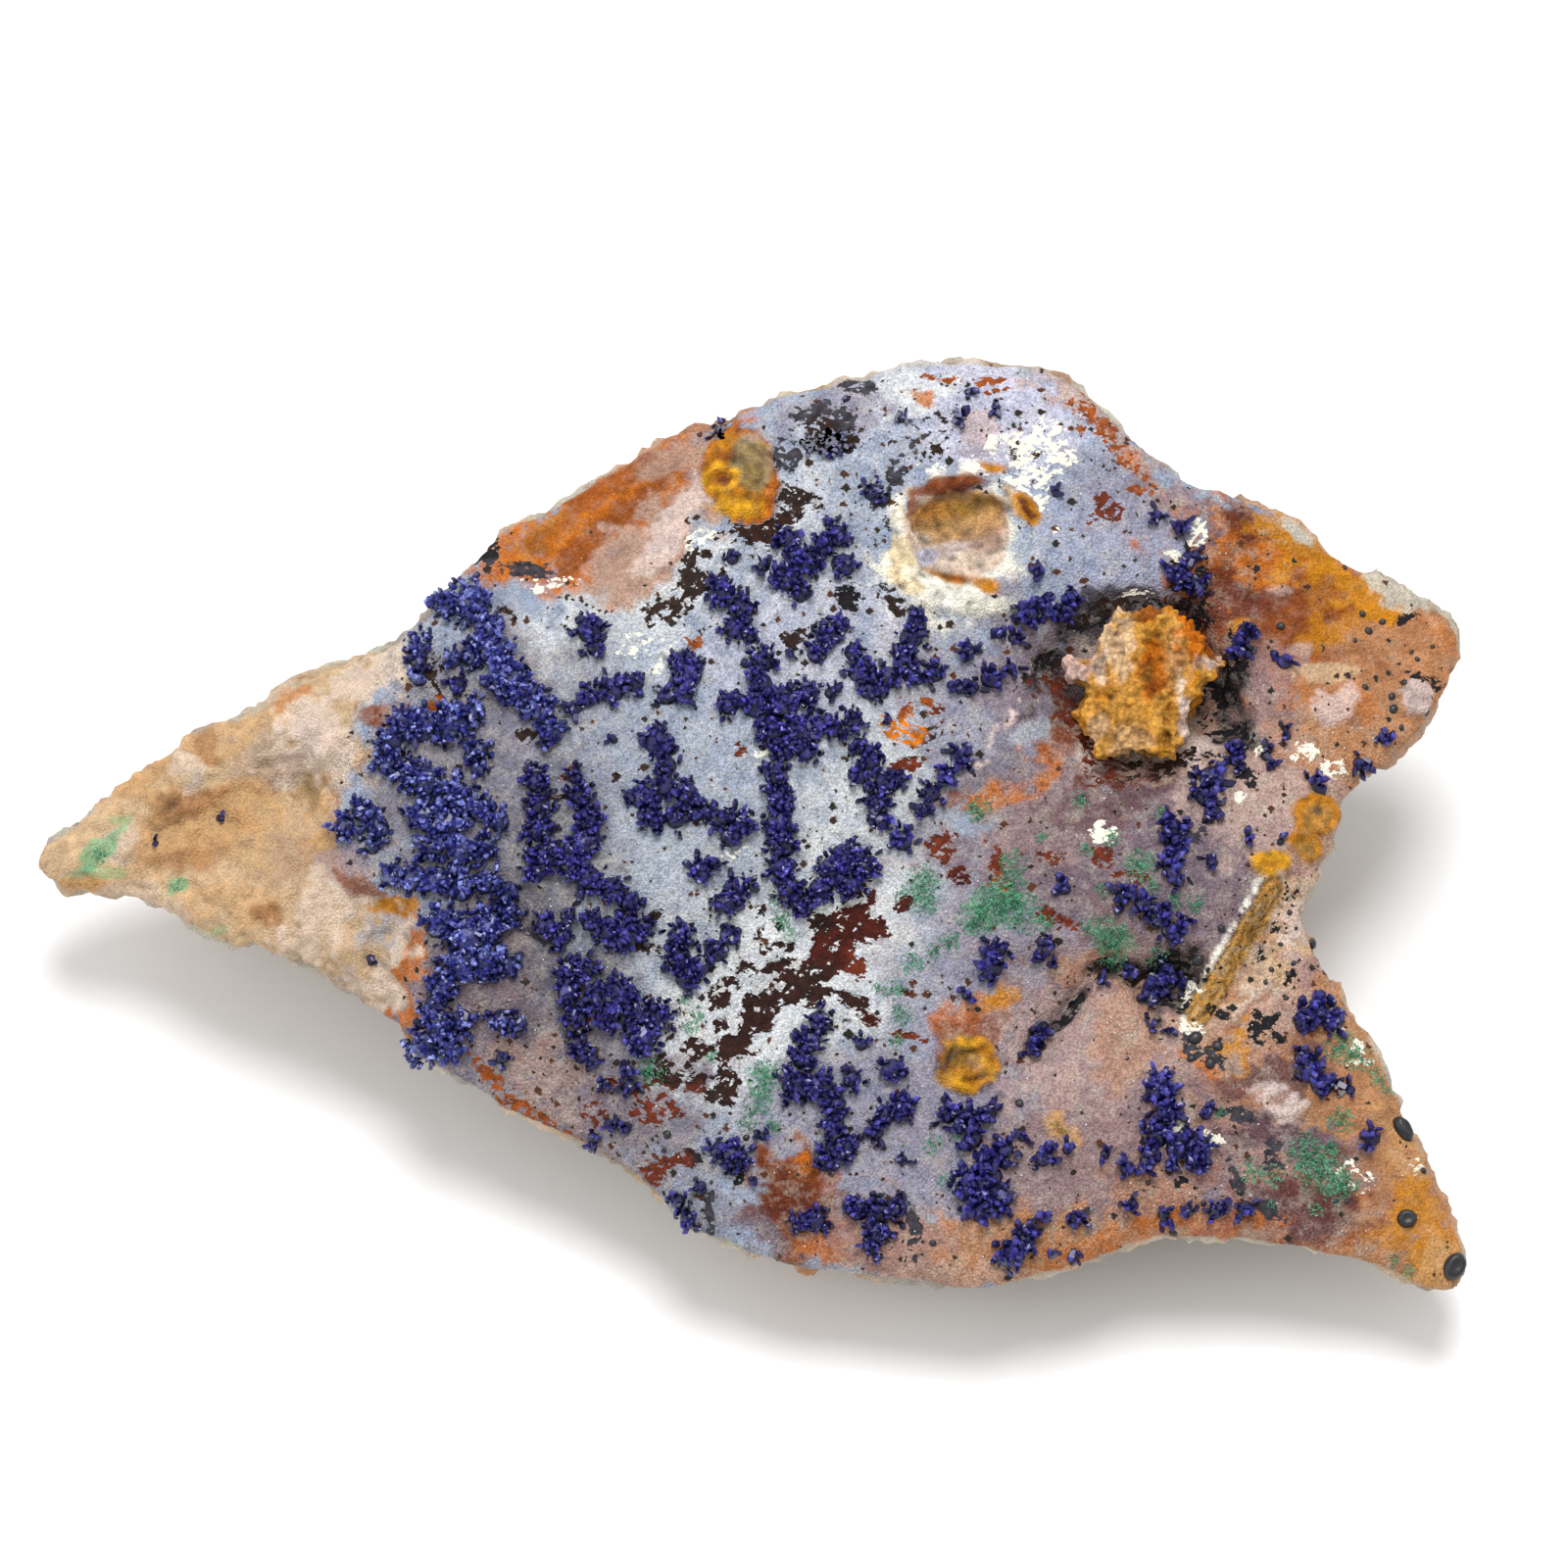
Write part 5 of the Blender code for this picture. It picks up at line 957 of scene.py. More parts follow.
# Where patches of crystals are rooted: place and radius
AZURITE_PATCHES = [
    (30.0, 38.4, 1.4), (28.5, 38.7, 0.9), (31.1, 40.0, 1.1), (31.6, 41.5, 1.3), (32.2, 43.1, 1.4),
    (33.4, 44.2, 1.3), (34.4, 45.3, 1.0), (35.1, 46.7, 0.9), (29.9, 41.8, 0.8), (28.9, 42.1, 0.7),
    (26.9, 40.9, 0.7), (26.6, 42.1, 0.7), (26.7, 43.3, 0.6), (29.2, 43.7, 0.7), (30.2, 45.4, 0.9),
    (28.8, 46.2, 1.2), (27.0, 46.4, 1.2), (25.6, 45.9, 0.9), (24.9, 47.3, 0.9), (24.6, 48.6, 0.8),
    (25.8, 49.2, 0.9), (27.2, 49.9, 1.2), (29.2, 50.8, 1.2), (30.8, 51.7, 1.0), (31.9, 52.4, 0.8),
    (28.6, 52.5, 1.2), (26.9, 52.0, 1.0), (27.6, 54.0, 1.0), (29.4, 54.3, 1.1), (31.1, 54.1, 0.9),
    (30.5, 47.9, 0.8), (30.5, 49.1, 0.6), (22.0, 52.8, 0.9), (23.2, 51.7, 0.9), (24.1, 52.8, 0.9),
    (23.8, 54.0, 0.6), (25.0, 55.9, 0.8), (26.5, 55.9, 1.0), (28.0, 56.1, 1.0), (29.5, 56.6, 1.1),
    (31.1, 56.2, 1.0), (32.5, 56.8, 0.8), (28.1, 58.9, 1.1), (29.8, 59.6, 1.4), (31.4, 59.0, 1.2),
    (32.5, 58.2, 0.9), (29.5, 61.5, 1.3), (31.1, 61.0, 1.3), (28.4, 62.8, 1.0), (32.5, 61.6, 0.8),
    (27.2, 66.6, 1.1), (28.2, 65.3, 1.1), (29.6, 65.0, 0.9), (28.9, 66.8, 0.9), (27.8, 64.0, 0.8),
    (34.3, 49.9, 0.9), (34.3, 51.4, 0.9), (34.5, 52.9, 1.0), (35.1, 54.5, 1.1), (34.2, 55.6, 0.8),
    (36.7, 49.5, 0.6), (37.0, 50.8, 0.9), (37.5, 52.2, 1.0), (37.3, 53.8, 1.1), (36.5, 55.1, 1.0),
    (37.6, 56.0, 1.0), (39.1, 56.7, 1.0), (40.2, 57.5, 0.8), (37.8, 58.7, 0.8), (38.9, 59.3, 1.0),
    (40.1, 59.5, 1.1), (41.1, 59.1, 0.7), (34.9, 59.0, 0.8), (35.9, 59.6, 0.8), (36.3, 58.3, 0.6),
    (36.3, 61.8, 0.8), (36.4, 63.2, 0.9), (37.4, 61.7, 0.8), (36.9, 64.8, 0.8), (38.2, 63.4, 1.0),
    (39.5, 63.4, 1.2), (38.8, 64.8, 1.0), (40.7, 64.4, 1.0), (42.0, 64.7, 0.9), (41.0, 66.1, 1.1),
    (36.9, 66.5, 0.8), (37.7, 67.2, 0.7), (32.1, 65.0, 0.9), (33.2, 65.2, 0.6), (43.4, 59.7, 0.9),
    (43.4, 61.1, 0.9), (43.8, 62.4, 0.8), (44.7, 61.5, 0.8), (45.7, 60.6, 0.9), (46.6, 59.6, 0.8),
    (46.3, 57.5, 0.9), (47.2, 56.5, 0.8), (44.7, 55.6, 0.8), (45.6, 55.1, 0.5), (41.9, 47.3, 1.0),
    (42.6, 48.8, 0.7), (42.3, 50.1, 0.9), (40.9, 50.8, 0.9), (43.8, 50.7, 0.9), (41.7, 52.0, 0.9),
    (43.1, 52.2, 0.8), (44.4, 51.9, 0.7), (45.9, 52.2, 0.8), (47.2, 52.5, 0.9), (46.5, 53.4, 0.7),
    (37.6, 40.2, 1.0), (38.0, 41.3, 0.7), (36.7, 45.1, 0.6), (37.6, 44.5, 0.7), (39.0, 44.0, 1.0),
    (40.5, 43.6, 0.7), (43.9, 43.1, 1.0), (43.4, 42.2, 0.8), (43.6, 44.2, 0.8), (42.4, 44.5, 0.6),
    (48.6, 42.2, 0.9), (48.5, 43.6, 0.9), (48.1, 45.0, 1.0), (46.5, 45.0, 0.8), (50.0, 45.0, 1.1),
    (51.4, 44.3, 0.9), (49.2, 46.5, 1.1), (50.9, 46.6, 1.2), (52.2, 46.3, 0.8), (50.0, 47.8, 0.9),
    (51.4, 47.9, 0.8), (53.2, 46.5, 0.7), (54.4, 45.9, 0.7), (52.1, 41.7, 0.8), (52.8, 40.7, 0.9),
    (53.6, 39.9, 0.7), (45.9, 37.8, 1.0), (47.2, 38.8, 1.0), (46.9, 40.1, 0.9), (47.8, 40.6, 0.6),
    (50.2, 34.3, 0.8), (50.8, 35.4, 0.7), (53.4, 34.1, 0.9), (52.5, 34.9, 0.8), (51.5, 35.9, 0.9),
    (50.3, 36.9, 1.1), (51.0, 37.9, 0.7), (53.8, 36.0, 0.9), (54.4, 41.6, 0.7), (54.8, 42.9, 0.9),
    (55.4, 44.0, 0.8), (56.7, 43.2, 0.9), (58.2, 43.1, 0.8), (59.6, 43.0, 0.7), (57.7, 41.9, 0.7),
    (58.1, 40.7, 0.9), (58.5, 39.6, 0.7), (65.6, 39.1, 0.9), (66.9, 38.8, 0.7), (67.9, 39.0, 0.7),
    (54.8, 47.6, 0.7), (55.5, 48.5, 0.8), (54.8, 49.5, 0.7), (56.2, 49.8, 0.8), (57.3, 49.6, 0.6),
    (55.9, 51.1, 0.8), (56.2, 52.3, 0.7), (49.4, 49.5, 0.8), (49.7, 50.9, 0.9), (49.7, 52.5, 1.0),
    (50.0, 53.9, 0.9), (49.8, 55.3, 0.9), (50.3, 56.6, 0.9), (51.2, 57.6, 0.9), (52.3, 56.7, 0.9),
    (52.9, 55.5, 0.9), (54.1, 56.4, 1.0), (53.8, 54.6, 1.0), (55.2, 55.3, 0.9), (61.1, 48.3, 0.7),
    (60.3, 49.4, 0.7), (59.4, 50.6, 0.7), (58.8, 51.7, 0.6), (57.5, 53.6, 0.8), (77.2, 49.6, 0.9),
    (76.8, 50.8, 0.9), (77.3, 51.9, 0.8), (74.7, 52.8, 0.9), (75.1, 54.1, 0.6), (74.5, 55.2, 0.7),
    (75.0, 56.1, 0.6), (72.8, 57.6, 0.7), (73.7, 58.4, 0.7), (74.5, 59.3, 0.7), (63.6, 60.4, 0.7),
    (63.2, 61.6, 0.9), (74.2, 62.4, 1.2), (73.3, 63.6, 0.9), (65.9, 66.6, 0.9), (66.4, 65.5, 0.6),
    (83.8, 64.6, 1.0), (84.7, 65.3, 0.7), (83.0, 65.4, 0.7), (83.4, 68.1, 0.9), (84.1, 69.2, 0.8),
    (82.8, 67.4, 0.6), (73.8, 69.3, 1.1), (74.3, 70.8, 0.9), (73.7, 72.2, 1.0), (74.9, 73.0, 1.0),
    (76.3, 72.9, 0.9), (76.0, 74.0, 0.8), (60.4, 70.9, 0.8), (61.7, 71.2, 0.9), (62.9, 70.8, 0.7),
    (61.9, 72.5, 0.8), (62.7, 73.7, 0.8), (64.0, 73.1, 0.7), (63.1, 74.9, 0.9), (61.7, 75.6, 1.1),
    (63.7, 76.2, 0.9), (62.4, 77.1, 0.8), (64.4, 79.7, 1.1), (65.3, 78.8, 0.8), (52.2, 65.0, 0.8),
    (51.6, 66.3, 0.9), (51.2, 67.5, 0.8), (50.8, 69.1, 1.1), (52.3, 69.2, 1.0), (53.2, 70.3, 0.9),
    (54.3, 68.7, 0.7), (53.2, 71.6, 0.8), (53.8, 72.9, 0.9), (52.6, 73.9, 0.8), (56.9, 68.1, 0.8),
    (57.6, 70.4, 0.9), (56.4, 71.0, 0.8), (55.8, 72.1, 0.6), (46.9, 73.6, 1.0), (45.9, 73.2, 0.7),
    (51.9, 77.6, 0.9), (51.0, 77.9, 0.6), (54.7, 76.9, 0.9), (56.0, 77.1, 0.8), (57.1, 76.8, 0.8),
    (56.0, 78.3, 0.8), (55.5, 79.2, 0.7),
    # Small single crystals and sprays between the clusters
    (46.7, 35.6, 0.5), (48.7, 36.1, 0.5), (39.2, 47.2, 0.3), (55.7, 31.3, 0.7), (53.1, 28.1, 0.8),
    (51.7, 28.3, 0.5), (54.0, 25.2, 0.3), (45.9, 27.3, 0.5), (57.6, 26.5, 0.4), (61.2, 26.6, 0.5),
    (63.7, 26.1, 0.4), (61.9, 24.8, 0.4), (67.4, 31.4, 0.3), (73.9, 32.8, 0.5), (75.4, 33.5, 0.6),
    (76.4, 35.4, 0.5), (75.2, 36.6, 0.9), (76.6, 37.3, 0.6), (66.3, 36.4, 0.5), (68.4, 37.9, 0.6),
    (63.8, 40.4, 0.5), (64.7, 40.7, 0.5), (61.8, 41.5, 0.6), (63.2, 43.3, 0.8), (61.6, 43.9, 0.5),
    (64.5, 42.6, 0.5), (60.7, 43.7, 0.4), (79.5, 40.2, 0.6), (79.0, 41.3, 0.5), (79.7, 41.7, 0.4),
    (82.0, 42.2, 0.6), (88.3, 47.0, 0.5), (86.7, 48.7, 0.5), (82.1, 46.9, 0.4), (83.9, 49.8, 0.5),
    (81.1, 48.8, 0.4), (80.7, 48.2, 0.4), (78.9, 48.4, 0.7), (79.6, 53.6, 0.35), (81.6, 53.7, 0.3),
    (77.2, 55.0, 0.5), (67.8, 56.6, 0.55), (71.5, 57.2, 0.6), (75.4, 58.6, 0.4), (66.4, 60.0, 0.5),
    (66.3, 61.1, 0.3), (67.1, 61.4, 0.3), (72.0, 61.7, 0.4), (70.2, 62.5, 0.4), (61.6, 63.4, 0.4),
    (73.3, 65.6, 0.25), (74.4, 65.6, 0.25), (54.9, 66.5, 0.5), (48.7, 72.3, 0.35), (57.5, 73.8, 0.4),
    (66.3, 77.4, 0.4), (68.3, 79.6, 0.35), (67.2, 79.6, 0.25), (65.1, 72.3, 0.4), (66.4, 73.6, 0.7),
    (67.9, 73.1, 0.4), (68.5, 77.4, 0.6), (70.3, 73.4, 0.4), (71.7, 74.3, 0.6), (73.0, 73.9, 0.7),
    (72.0, 76.6, 0.5), (74.0, 77.2, 0.5), (75.5, 77.0, 0.5), (77.3, 77.0, 0.6), (79.1, 76.8, 0.6),
    (76.7, 70.9, 0.5), (85.9, 69.4, 0.4), (87.2, 72.4, 0.7), (37.9, 72.5, 0.5), (39.9, 71.8, 0.5),
    (38.9, 71.5, 0.4), (32.1, 67.4, 0.5), (38.7, 69.0, 0.4), (40.2, 69.2, 0.5), (40.1, 68.2, 0.5),
    (43.3, 76.4, 0.6), (43.9, 77.6, 0.7), (44.7, 75.5, 0.5), (48.1, 75.0, 0.25), (13.9, 52.2, 0.3),
    (9.8, 53.8, 0.25), (23.7, 61.4, 0.25), (50.4, 41.7, 0.3), (53.0, 44.2, 0.5), (56.6, 46.0, 0.3),
]
FROSTED_LEFT_OF = 34.0
CRYSTALS_EACH_MM2 = 14.0
CRYSTAL_LENGTHS = (0.34, 0.64)
CRYSTAL_WIDTHS = (0.6, 0.95)
COARSE_RIGHT_OF, COARSENESS = 60.0, 1.3
PATCH_SPREAD = 1.1
HEART_SPREAD, HEART_RISE = 0.78, 0.8
STRAY_REACH, STRAY_TILT = 1.08, 0.55
ROOT_DEPTH = 0.08
ANY_SPIN = (0, 6.28)
rock_surface = BVHTree.FromObject(rock, bpy.context.evaluated_depsgraph_get())
chance = np.random.RandomState(11)


def rooted(x, y):
    """Where a line square on to the chart meets the rock, and which way the rock faces there."""
    down = (CHART_TO_STONE.to_3x3() @ Vector((0.0, 0.0, -1.0))).normalized()
    foot, normal, _, _ = rock_surface.ray_cast(chart_point(x, y, 40.0), down)
    return foot, normal


def bladed_crystal():
    """One azurite crystal, 1 long and 1 wide: a rhombic prism that ends in a slanting, blunt chisel."""
    bm = bmesh.new()
    bmesh.ops.create_cone(bm, cap_ends=True, segments=4, radius1=0.42, radius2=0.5, depth=0.75)
    bmesh.ops.translate(bm, verts=bm.verts, vec=(0.0, 0.0, 0.375))
    top = [face for face in bm.faces if face.normal.z > 0.9]
    edge = bmesh.ops.extrude_discrete_faces(bm, faces=top)["faces"]
    chisel = edge[0].verts[:]
    bmesh.ops.scale(bm, verts=chisel, vec=(0.7, 0.45, 1.0))
    bmesh.ops.translate(bm, verts=chisel, vec=(0.0, 0.0, 0.25))
    for vert in chisel:
        vert.co.z += 0.22 * vert.co.x
    bmesh.ops.scale(bm, verts=bm.verts, vec=(1.0, 0.7, 1.0))
    bmesh.ops.triangulate(bm, faces=bm.faces)
    mesh = bpy.data.meshes.new("azurite blade")
    bm.to_mesh(mesh)
    bm.free()
    return mesh


def knobbly_core():
    """The solid heart of a patch: a lumpy half ball 1 in radius."""
    bm = bmesh.new()
    bmesh.ops.create_icosphere(bm, subdivisions=2, radius=1.0)
    for vert in bm.verts:
        vert.co *= 1.0 + 0.28 * noise.noise(vert.co * 2.3)
    mesh = bpy.data.meshes.new("azurite core")
    bm.to_mesh(mesh)
    bm.free()
    return mesh


def stamp(bm, pattern, matrix):
    """Adds a copy of a small mesh, moved by the matrix."""
    copied = pattern.copy()
    copied.transform(matrix)
    bm.from_mesh(copied)
    bpy.data.meshes.remove(copied)


def pointing(foot, direction, spin, size):
    """The matrix that stands a shape at a foot, along a direction, spun about it and scaled."""
    turn = direction.to_track_quat("Z", "Y").to_matrix().to_4x4()
    return Matrix.Translation(foot) @ turn @ Matrix.Rotation(spin, 4, "Z") @ Matrix.Diagonal((*size, 1.0))


def grow_patch(bm, x, y, radius, blade, heart):
    """A bushy patch: a core on the rock, covered with crystals that are coarser right of the middle."""
    coarse = 1.0 if x < COARSE_RIGHT_OF else COARSENESS
    radius *= PATCH_SPREAD / coarse**0.2
    foot, normal = rooted(x, y)
    if foot is None:
        return
    height = 0.2 + 0.5 * radius
    size = (radius * HEART_SPREAD * MM, radius * HEART_SPREAD * MM, height * HEART_RISE * MM)
    stamp(bm, heart, pointing(foot, normal, chance.uniform(*ANY_SPIN), size))
    for _ in range(max(4, round(CRYSTALS_EACH_MM2 * math.pi * radius**2 / coarse))):
        around = chance.uniform(0, 2 * math.pi)
        out = math.sqrt(chance.uniform(0, 1)) * STRAY_REACH
        spot_x, spot_y = x + radius * out * math.cos(around), y - radius * out * math.sin(around)
        if out > 0.95 + 0.5 * noise.noise(Vector((spot_x, spot_y, 0.0)) * 1.6):
            continue
        spot, facing_up = rooted(spot_x, spot_y)
        if spot is None:
            continue
        dome = math.sqrt(max(0.0, 1.0 - min(out, 1.0) ** 2))
        lift = height * dome * chance.uniform(0.55, 1.0) - ROOT_DEPTH
        outward = (spot - foot).normalized() if out > 0.05 else facing_up
        stray = Vector(chance.normal(0, STRAY_TILT, 3))
        direction = (facing_up * 0.8 + outward * out * 0.5 + stray).normalized()
        if direction.dot(facing_up) < -0.1:
            direction = (direction + facing_up).normalized()
        length = chance.uniform(*CRYSTAL_LENGTHS) * coarse
        width = length * chance.uniform(*CRYSTAL_WIDTHS)
        spin = chance.uniform(*ANY_SPIN)
        start = spot + facing_up * lift * MM
        stamp(bm, blade, pointing(start, direction, spin, (width * MM, width * MM, length * MM)))


def paint_rise(shown):
    """Stores how far each corner stands above the rock, in mm, from which the shader paints shade at the
    crystals' feet and light higher up.
    """
    gaps = [rock_surface.find_nearest(corner.co)[3] / MM for corner in shown.data.vertices]
    paint(shown.data, "rise", np.array(gaps))


def colour_ramp(tree, value, dark, light):
    """Turns a value from 0 to 1 into a colour from dark to light."""
    ramp = node(tree, "ShaderNodeValToRGB", {0: value})
    ramp.color_ramp.elements[0].color = (*dark, 1.0)
    ramp.color_ramp.elements[1].color = (*light, 1.0)
    return ramp


def azurite_material(name, dark, middle, light):
    """Deep blue glassy crystals whose tone changes from crystal to crystal, with painted shade at their feet
    and painted light higher up.
    """
    material, tree, shader = new_material(name)
    cells = node(tree, "ShaderNodeTexVoronoi", {"Vector": stone_place(tree, 0.34), "Scale": 1.0})
    ramp = colour_ramp(tree, cell_picks(tree, cells)[0], dark, light)
    ramp.color_ramp.elements.new(0.7).color = (*middle, 1.0)
    # Painted shade at the crystals' feet, and painted light where they stand higher above the rock
    foot = ranged(tree, painted(tree, "rise")["Fac"], 0.1, 0.85, 0.16, 1.3)
    tree.links.new(toned(tree, ramp.outputs[0], foot), shader.inputs["Base Color"])
    shader.inputs["Roughness"].default_value = 0.3
    shader.inputs["IOR"].default_value = 1.55
    return material


azurite = azurite_material("azurite", (0.006, 0.005, 0.042), (0.018, 0.014, 0.135), (0.06, 0.055, 0.35))
frosted = azurite_material("frosted azurite", (0.008, 0.009, 0.070), (0.020, 0.023, 0.19), (0.22, 0.26, 0.60))


def share_out(patches, kind, reach):
    """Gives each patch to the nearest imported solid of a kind, and keeps apart those beyond its reach."""
    nodes = sorted(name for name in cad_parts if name.startswith(kind))
    corners = {name: chart_places(vertex_points(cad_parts[name].data)) for name in nodes}
    shares = {name: [] for name in nodes}
    loose = []
    for patch in patches:
        gaps = {name: np.hypot(xs - patch[0], ys - patch[1]).min() for name, (xs, ys) in corners.items()}
        nearest = min(gaps, key=gaps.get)
        (shares[nearest] if gaps[nearest] < reach else loose).append(patch)
    return corners, shares, loose


corners, shares, loose = share_out(AZURITE_PATCHES, "azurite_cluster", 0.7)
blade, heart = bladed_crystal(), knobbly_core()
for name, patches in shares.items():
    bm = bmesh.new()
    xs, ys = corners[name]
    if not patches:
        wide, tall = xs.max() - xs.min(), ys.max() - ys.min()
        patches = [((xs.min() + xs.max()) / 2.0, (ys.min() + ys.max()) / 2.0, min(wide, tall) / 2.0)]
    for x, y, radius in patches:
        grow_patch(bm, x, y, radius, blade, heart)
    cluster = shown_object(name.replace("cluster", "crystals"), bm)
    cluster.data.materials.append(frosted if xs.mean() < FROSTED_LEFT_OF else azurite)
    paint_rise(cluster)
    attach(cluster, "root")
    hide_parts(name)
bm = bmesh.new()
for x, y, radius in loose:
    grow_patch(bm, x, y, radius, blade, heart)
sprays = shown_object("azurite_sprays", bm)
sprays.data.materials.append(azurite)
paint_rise(sprays)
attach(sprays, "root")


# The malachite: loose tufts of short green needles that lie on the crust and half cover it.
# They grew after the crust, and each tuft is rooted on it.

# Where tufts are rooted: place and radius
MALACHITE_PATCHES = [
    (62.2, 58.5, 1.2), (63.6, 57.6, 1.5), (65.2, 58.2, 1.3), (64.4, 56.4, 1.0), (60.6, 59.9, 0.7),
    (66.6, 59.0, 0.6), (58.8, 56.2, 1.0), (58.9, 57.5, 0.9), (57.4, 56.9, 0.5), (58.1, 61.4, 0.7),
    (59.4, 60.6, 0.5), (70.6, 59.6, 1.2), (70.9, 61.0, 0.9), (69.4, 59.0, 0.6), (73.8, 61.2, 0.8),
    (68.9, 51.0, 0.6), (62.4, 51.7, 0.8), (64.5, 55.0, 0.8), (72.6, 55.2, 1.0), (73.4, 56.6, 0.6),
    (74.8, 57.4, 0.6), (76.2, 57.6, 0.6), (70.9, 53.5, 0.6), (69.2, 54.1, 0.5), (74.0, 51.9, 0.5),
    (49.6, 57.2, 0.6), (49.8, 58.6, 0.7), (50.4, 59.6, 0.4), (43.6, 63.6, 0.4), (44.6, 64.6, 0.5),
    (44.0, 65.4, 0.5), (41.6, 68.2, 0.9), (45.4, 67.4, 0.4), (48.7, 68.6, 1.1), (48.4, 70.1, 0.9),
    (47.6, 71.4, 0.6), (49.3, 71.6, 0.6), (57.0, 63.0, 0.7), (57.4, 64.6, 0.7), (57.2, 66.4, 0.5),
    (56.0, 63.0, 0.4), (59.4, 72.8, 0.6), (61.0, 72.4, 0.3), (60.1, 75.0, 0.4), (84.0, 74.4, 1.6),
    (82.9, 73.2, 1.1), (84.9, 75.6, 0.9), (79.6, 74.4, 0.8), (80.9, 74.8, 0.7), (83.6, 77.0, 0.5),
    (85.2, 71.4, 0.9), (85.4, 66.8, 1.0), (86.6, 67.4, 0.8), (87.6, 68.6, 0.6), (88.2, 69.4, 0.4),
    (77.6, 70.8, 0.4), (88.6, 80.2, 0.4), (89.6, 80.8, 0.4), (84.6, 73.0, 0.5), (80.8, 76.6, 0.3),
    (85.6, 75.2, 0.8), (66.4, 53.4, 0.4), (6.2, 54.6, 0.5), (11.2, 56.4, 0.4), (70.2, 56.8, 0.5),
]


NEEDLES_EACH_MM2 = 42.0
NEEDLE_LENGTHS = (0.16, 0.36)
NEEDLE_WIDTH = 0.09


def needle():
    """One malachite needle, 1 long."""
    bm = bmesh.new()
    bmesh.ops.create_cone(bm, cap_ends=True, segments=4, radius1=0.5, radius2=0.12, depth=1.0)
    bmesh.ops.triangulate(bm, faces=bm.faces)
    mesh = bpy.data.meshes.new("malachite needle")
    bm.to_mesh(mesh)
    bm.free()
    return mesh


def grow_tuft(bm, x, y, radius, pattern, heaped):
    """A tuft: many short needles that lie at low angles, thinning out from its middle."""
    for _ in range(round(NEEDLES_EACH_MM2 * math.pi * radius**2)):
        around = chance.uniform(0, 2 * math.pi)
        out = radius * chance.uniform(0, 1) ** 0.7 * 1.1
        spot, up = rooted(x + out * math.cos(around), y - out * math.sin(around))
        if spot is None:
            continue
        direction = (Vector(chance.normal(0, 1.0, 3)) + up * 0.5).normalized()
        length = chance.uniform(*NEEDLE_LENGTHS)
        lift = chance.uniform(0.02, heaped * max(0.1, 1.0 - out / radius))
        size = (NEEDLE_WIDTH * MM, NEEDLE_WIDTH * MM, length * MM)
        stamp(bm, pattern, pointing(spot + up * lift * MM, direction, 0.0, size))


malachite, tree, shader = new_material("malachite")
cells = node(tree, "ShaderNodeTexVoronoi", {"Vector": stone_place(tree, 0.3), "Scale": 1.0})
ramp = colour_ramp(tree, cell_picks(tree, cells)[0], (0.010, 0.14, 0.066), (0.17, 0.47, 0.28))
tree.links.new(ramp.outputs[0], shader.inputs["Base Color"])
shader.inputs["Roughness"].default_value = 0.5

_, shares, loose = share_out(MALACHITE_PATCHES, "malachite_tuft", 0.8)
pattern = needle()
for name, patches in shares.items():
    bm = bmesh.new()
    for x, y, radius in patches:
        grow_tuft(bm, x, y, radius, pattern, 0.5)
    tuft = shown_object(name.replace("tuft", "needles"), bm)
    tuft.data.materials.append(malachite)
    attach(tuft, "root")
    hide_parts(name)
bm = bmesh.new()
for x, y, radius in loose:
    grow_tuft(bm, x, y, radius, pattern, 0.2)
sprinkle = shown_object("malachite_sprinkle", bm)
sprinkle.data.materials.append(malachite)
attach(sprinkle, "root")


# The manganese oxide: smooth black beads, the larger ones dished with a raised rim.
# They sit on the two horns and on the right of the face, each rooted in the rock.

# The dished beads: place, long and short radius, turn. The small ones: place and radius
BEADS = {
    "manganese_bead_tip": (92.4, 80.5, 0.95, 0.7, 60.0),
    "manganese_bead_edge": (89.2, 71.9, 0.9, 0.5, -62.0),
    "manganese_bead_horn": (89.4, 77.5, 0.65, 0.6, 0.0),
}
SMALL_BEADS = [
    (83.7, 60.2, 0.35), (76.3, 61.2, 0.42), (76.1, 66.1, 0.5), (77.5, 66.6, 0.4), (77.0, 67.7, 0.4),
    (75.8, 67.4, 0.3), (90.5, 74.5, 0.25), (86.0, 36.1, 0.22), (87.1, 39.1, 0.25), (87.5, 40.2, 0.3),
    (88.4, 39.6, 0.25), (81.8, 39.9, 0.3), (87.2, 43.8, 0.25), (88.9, 44.4, 0.28), (89.0, 45.2, 0.35),
    (89.7, 43.5, 0.25), (89.5, 46.4, 0.22), (84.9, 76.4, 0.22), (85.6, 76.4, 0.18), (77.8, 59.2, 0.3),
    (82.1, 62.1, 0.22), (82.4, 61.4, 0.2), (81.6, 60.2, 0.18), (81.0, 61.8, 0.2), (80.6, 62.6, 0.18),
    (81.9, 63.6, 0.2), (82.6, 59.2, 0.16), (82.2, 58.2, 0.2), (81.4, 64.6, 0.18), (59.4, 79.0, 0.25),
    (74.6, 78.4, 0.3), (57.9, 70.4, 0.16), (64.9, 70.2, 0.32), (42.6, 72.2, 0.3), (42.4, 73.2, 0.2),
    (47.6, 72.4, 0.25), (44.4, 75.0, 0.2), (45.4, 75.2, 0.15), (86.6, 40.8, 0.18), (90.6, 42.0, 0.2),
    (91.6, 41.2, 0.18), (90.2, 41.6, 0.15), (78.8, 75.8, 0.25), (76.5, 76.5, 0.22), (73.0, 75.2, 0.2),
]


DISH_DEPTH, DISH_RADIUS = 0.45, 0.62
BEAD_RISE = 0.7


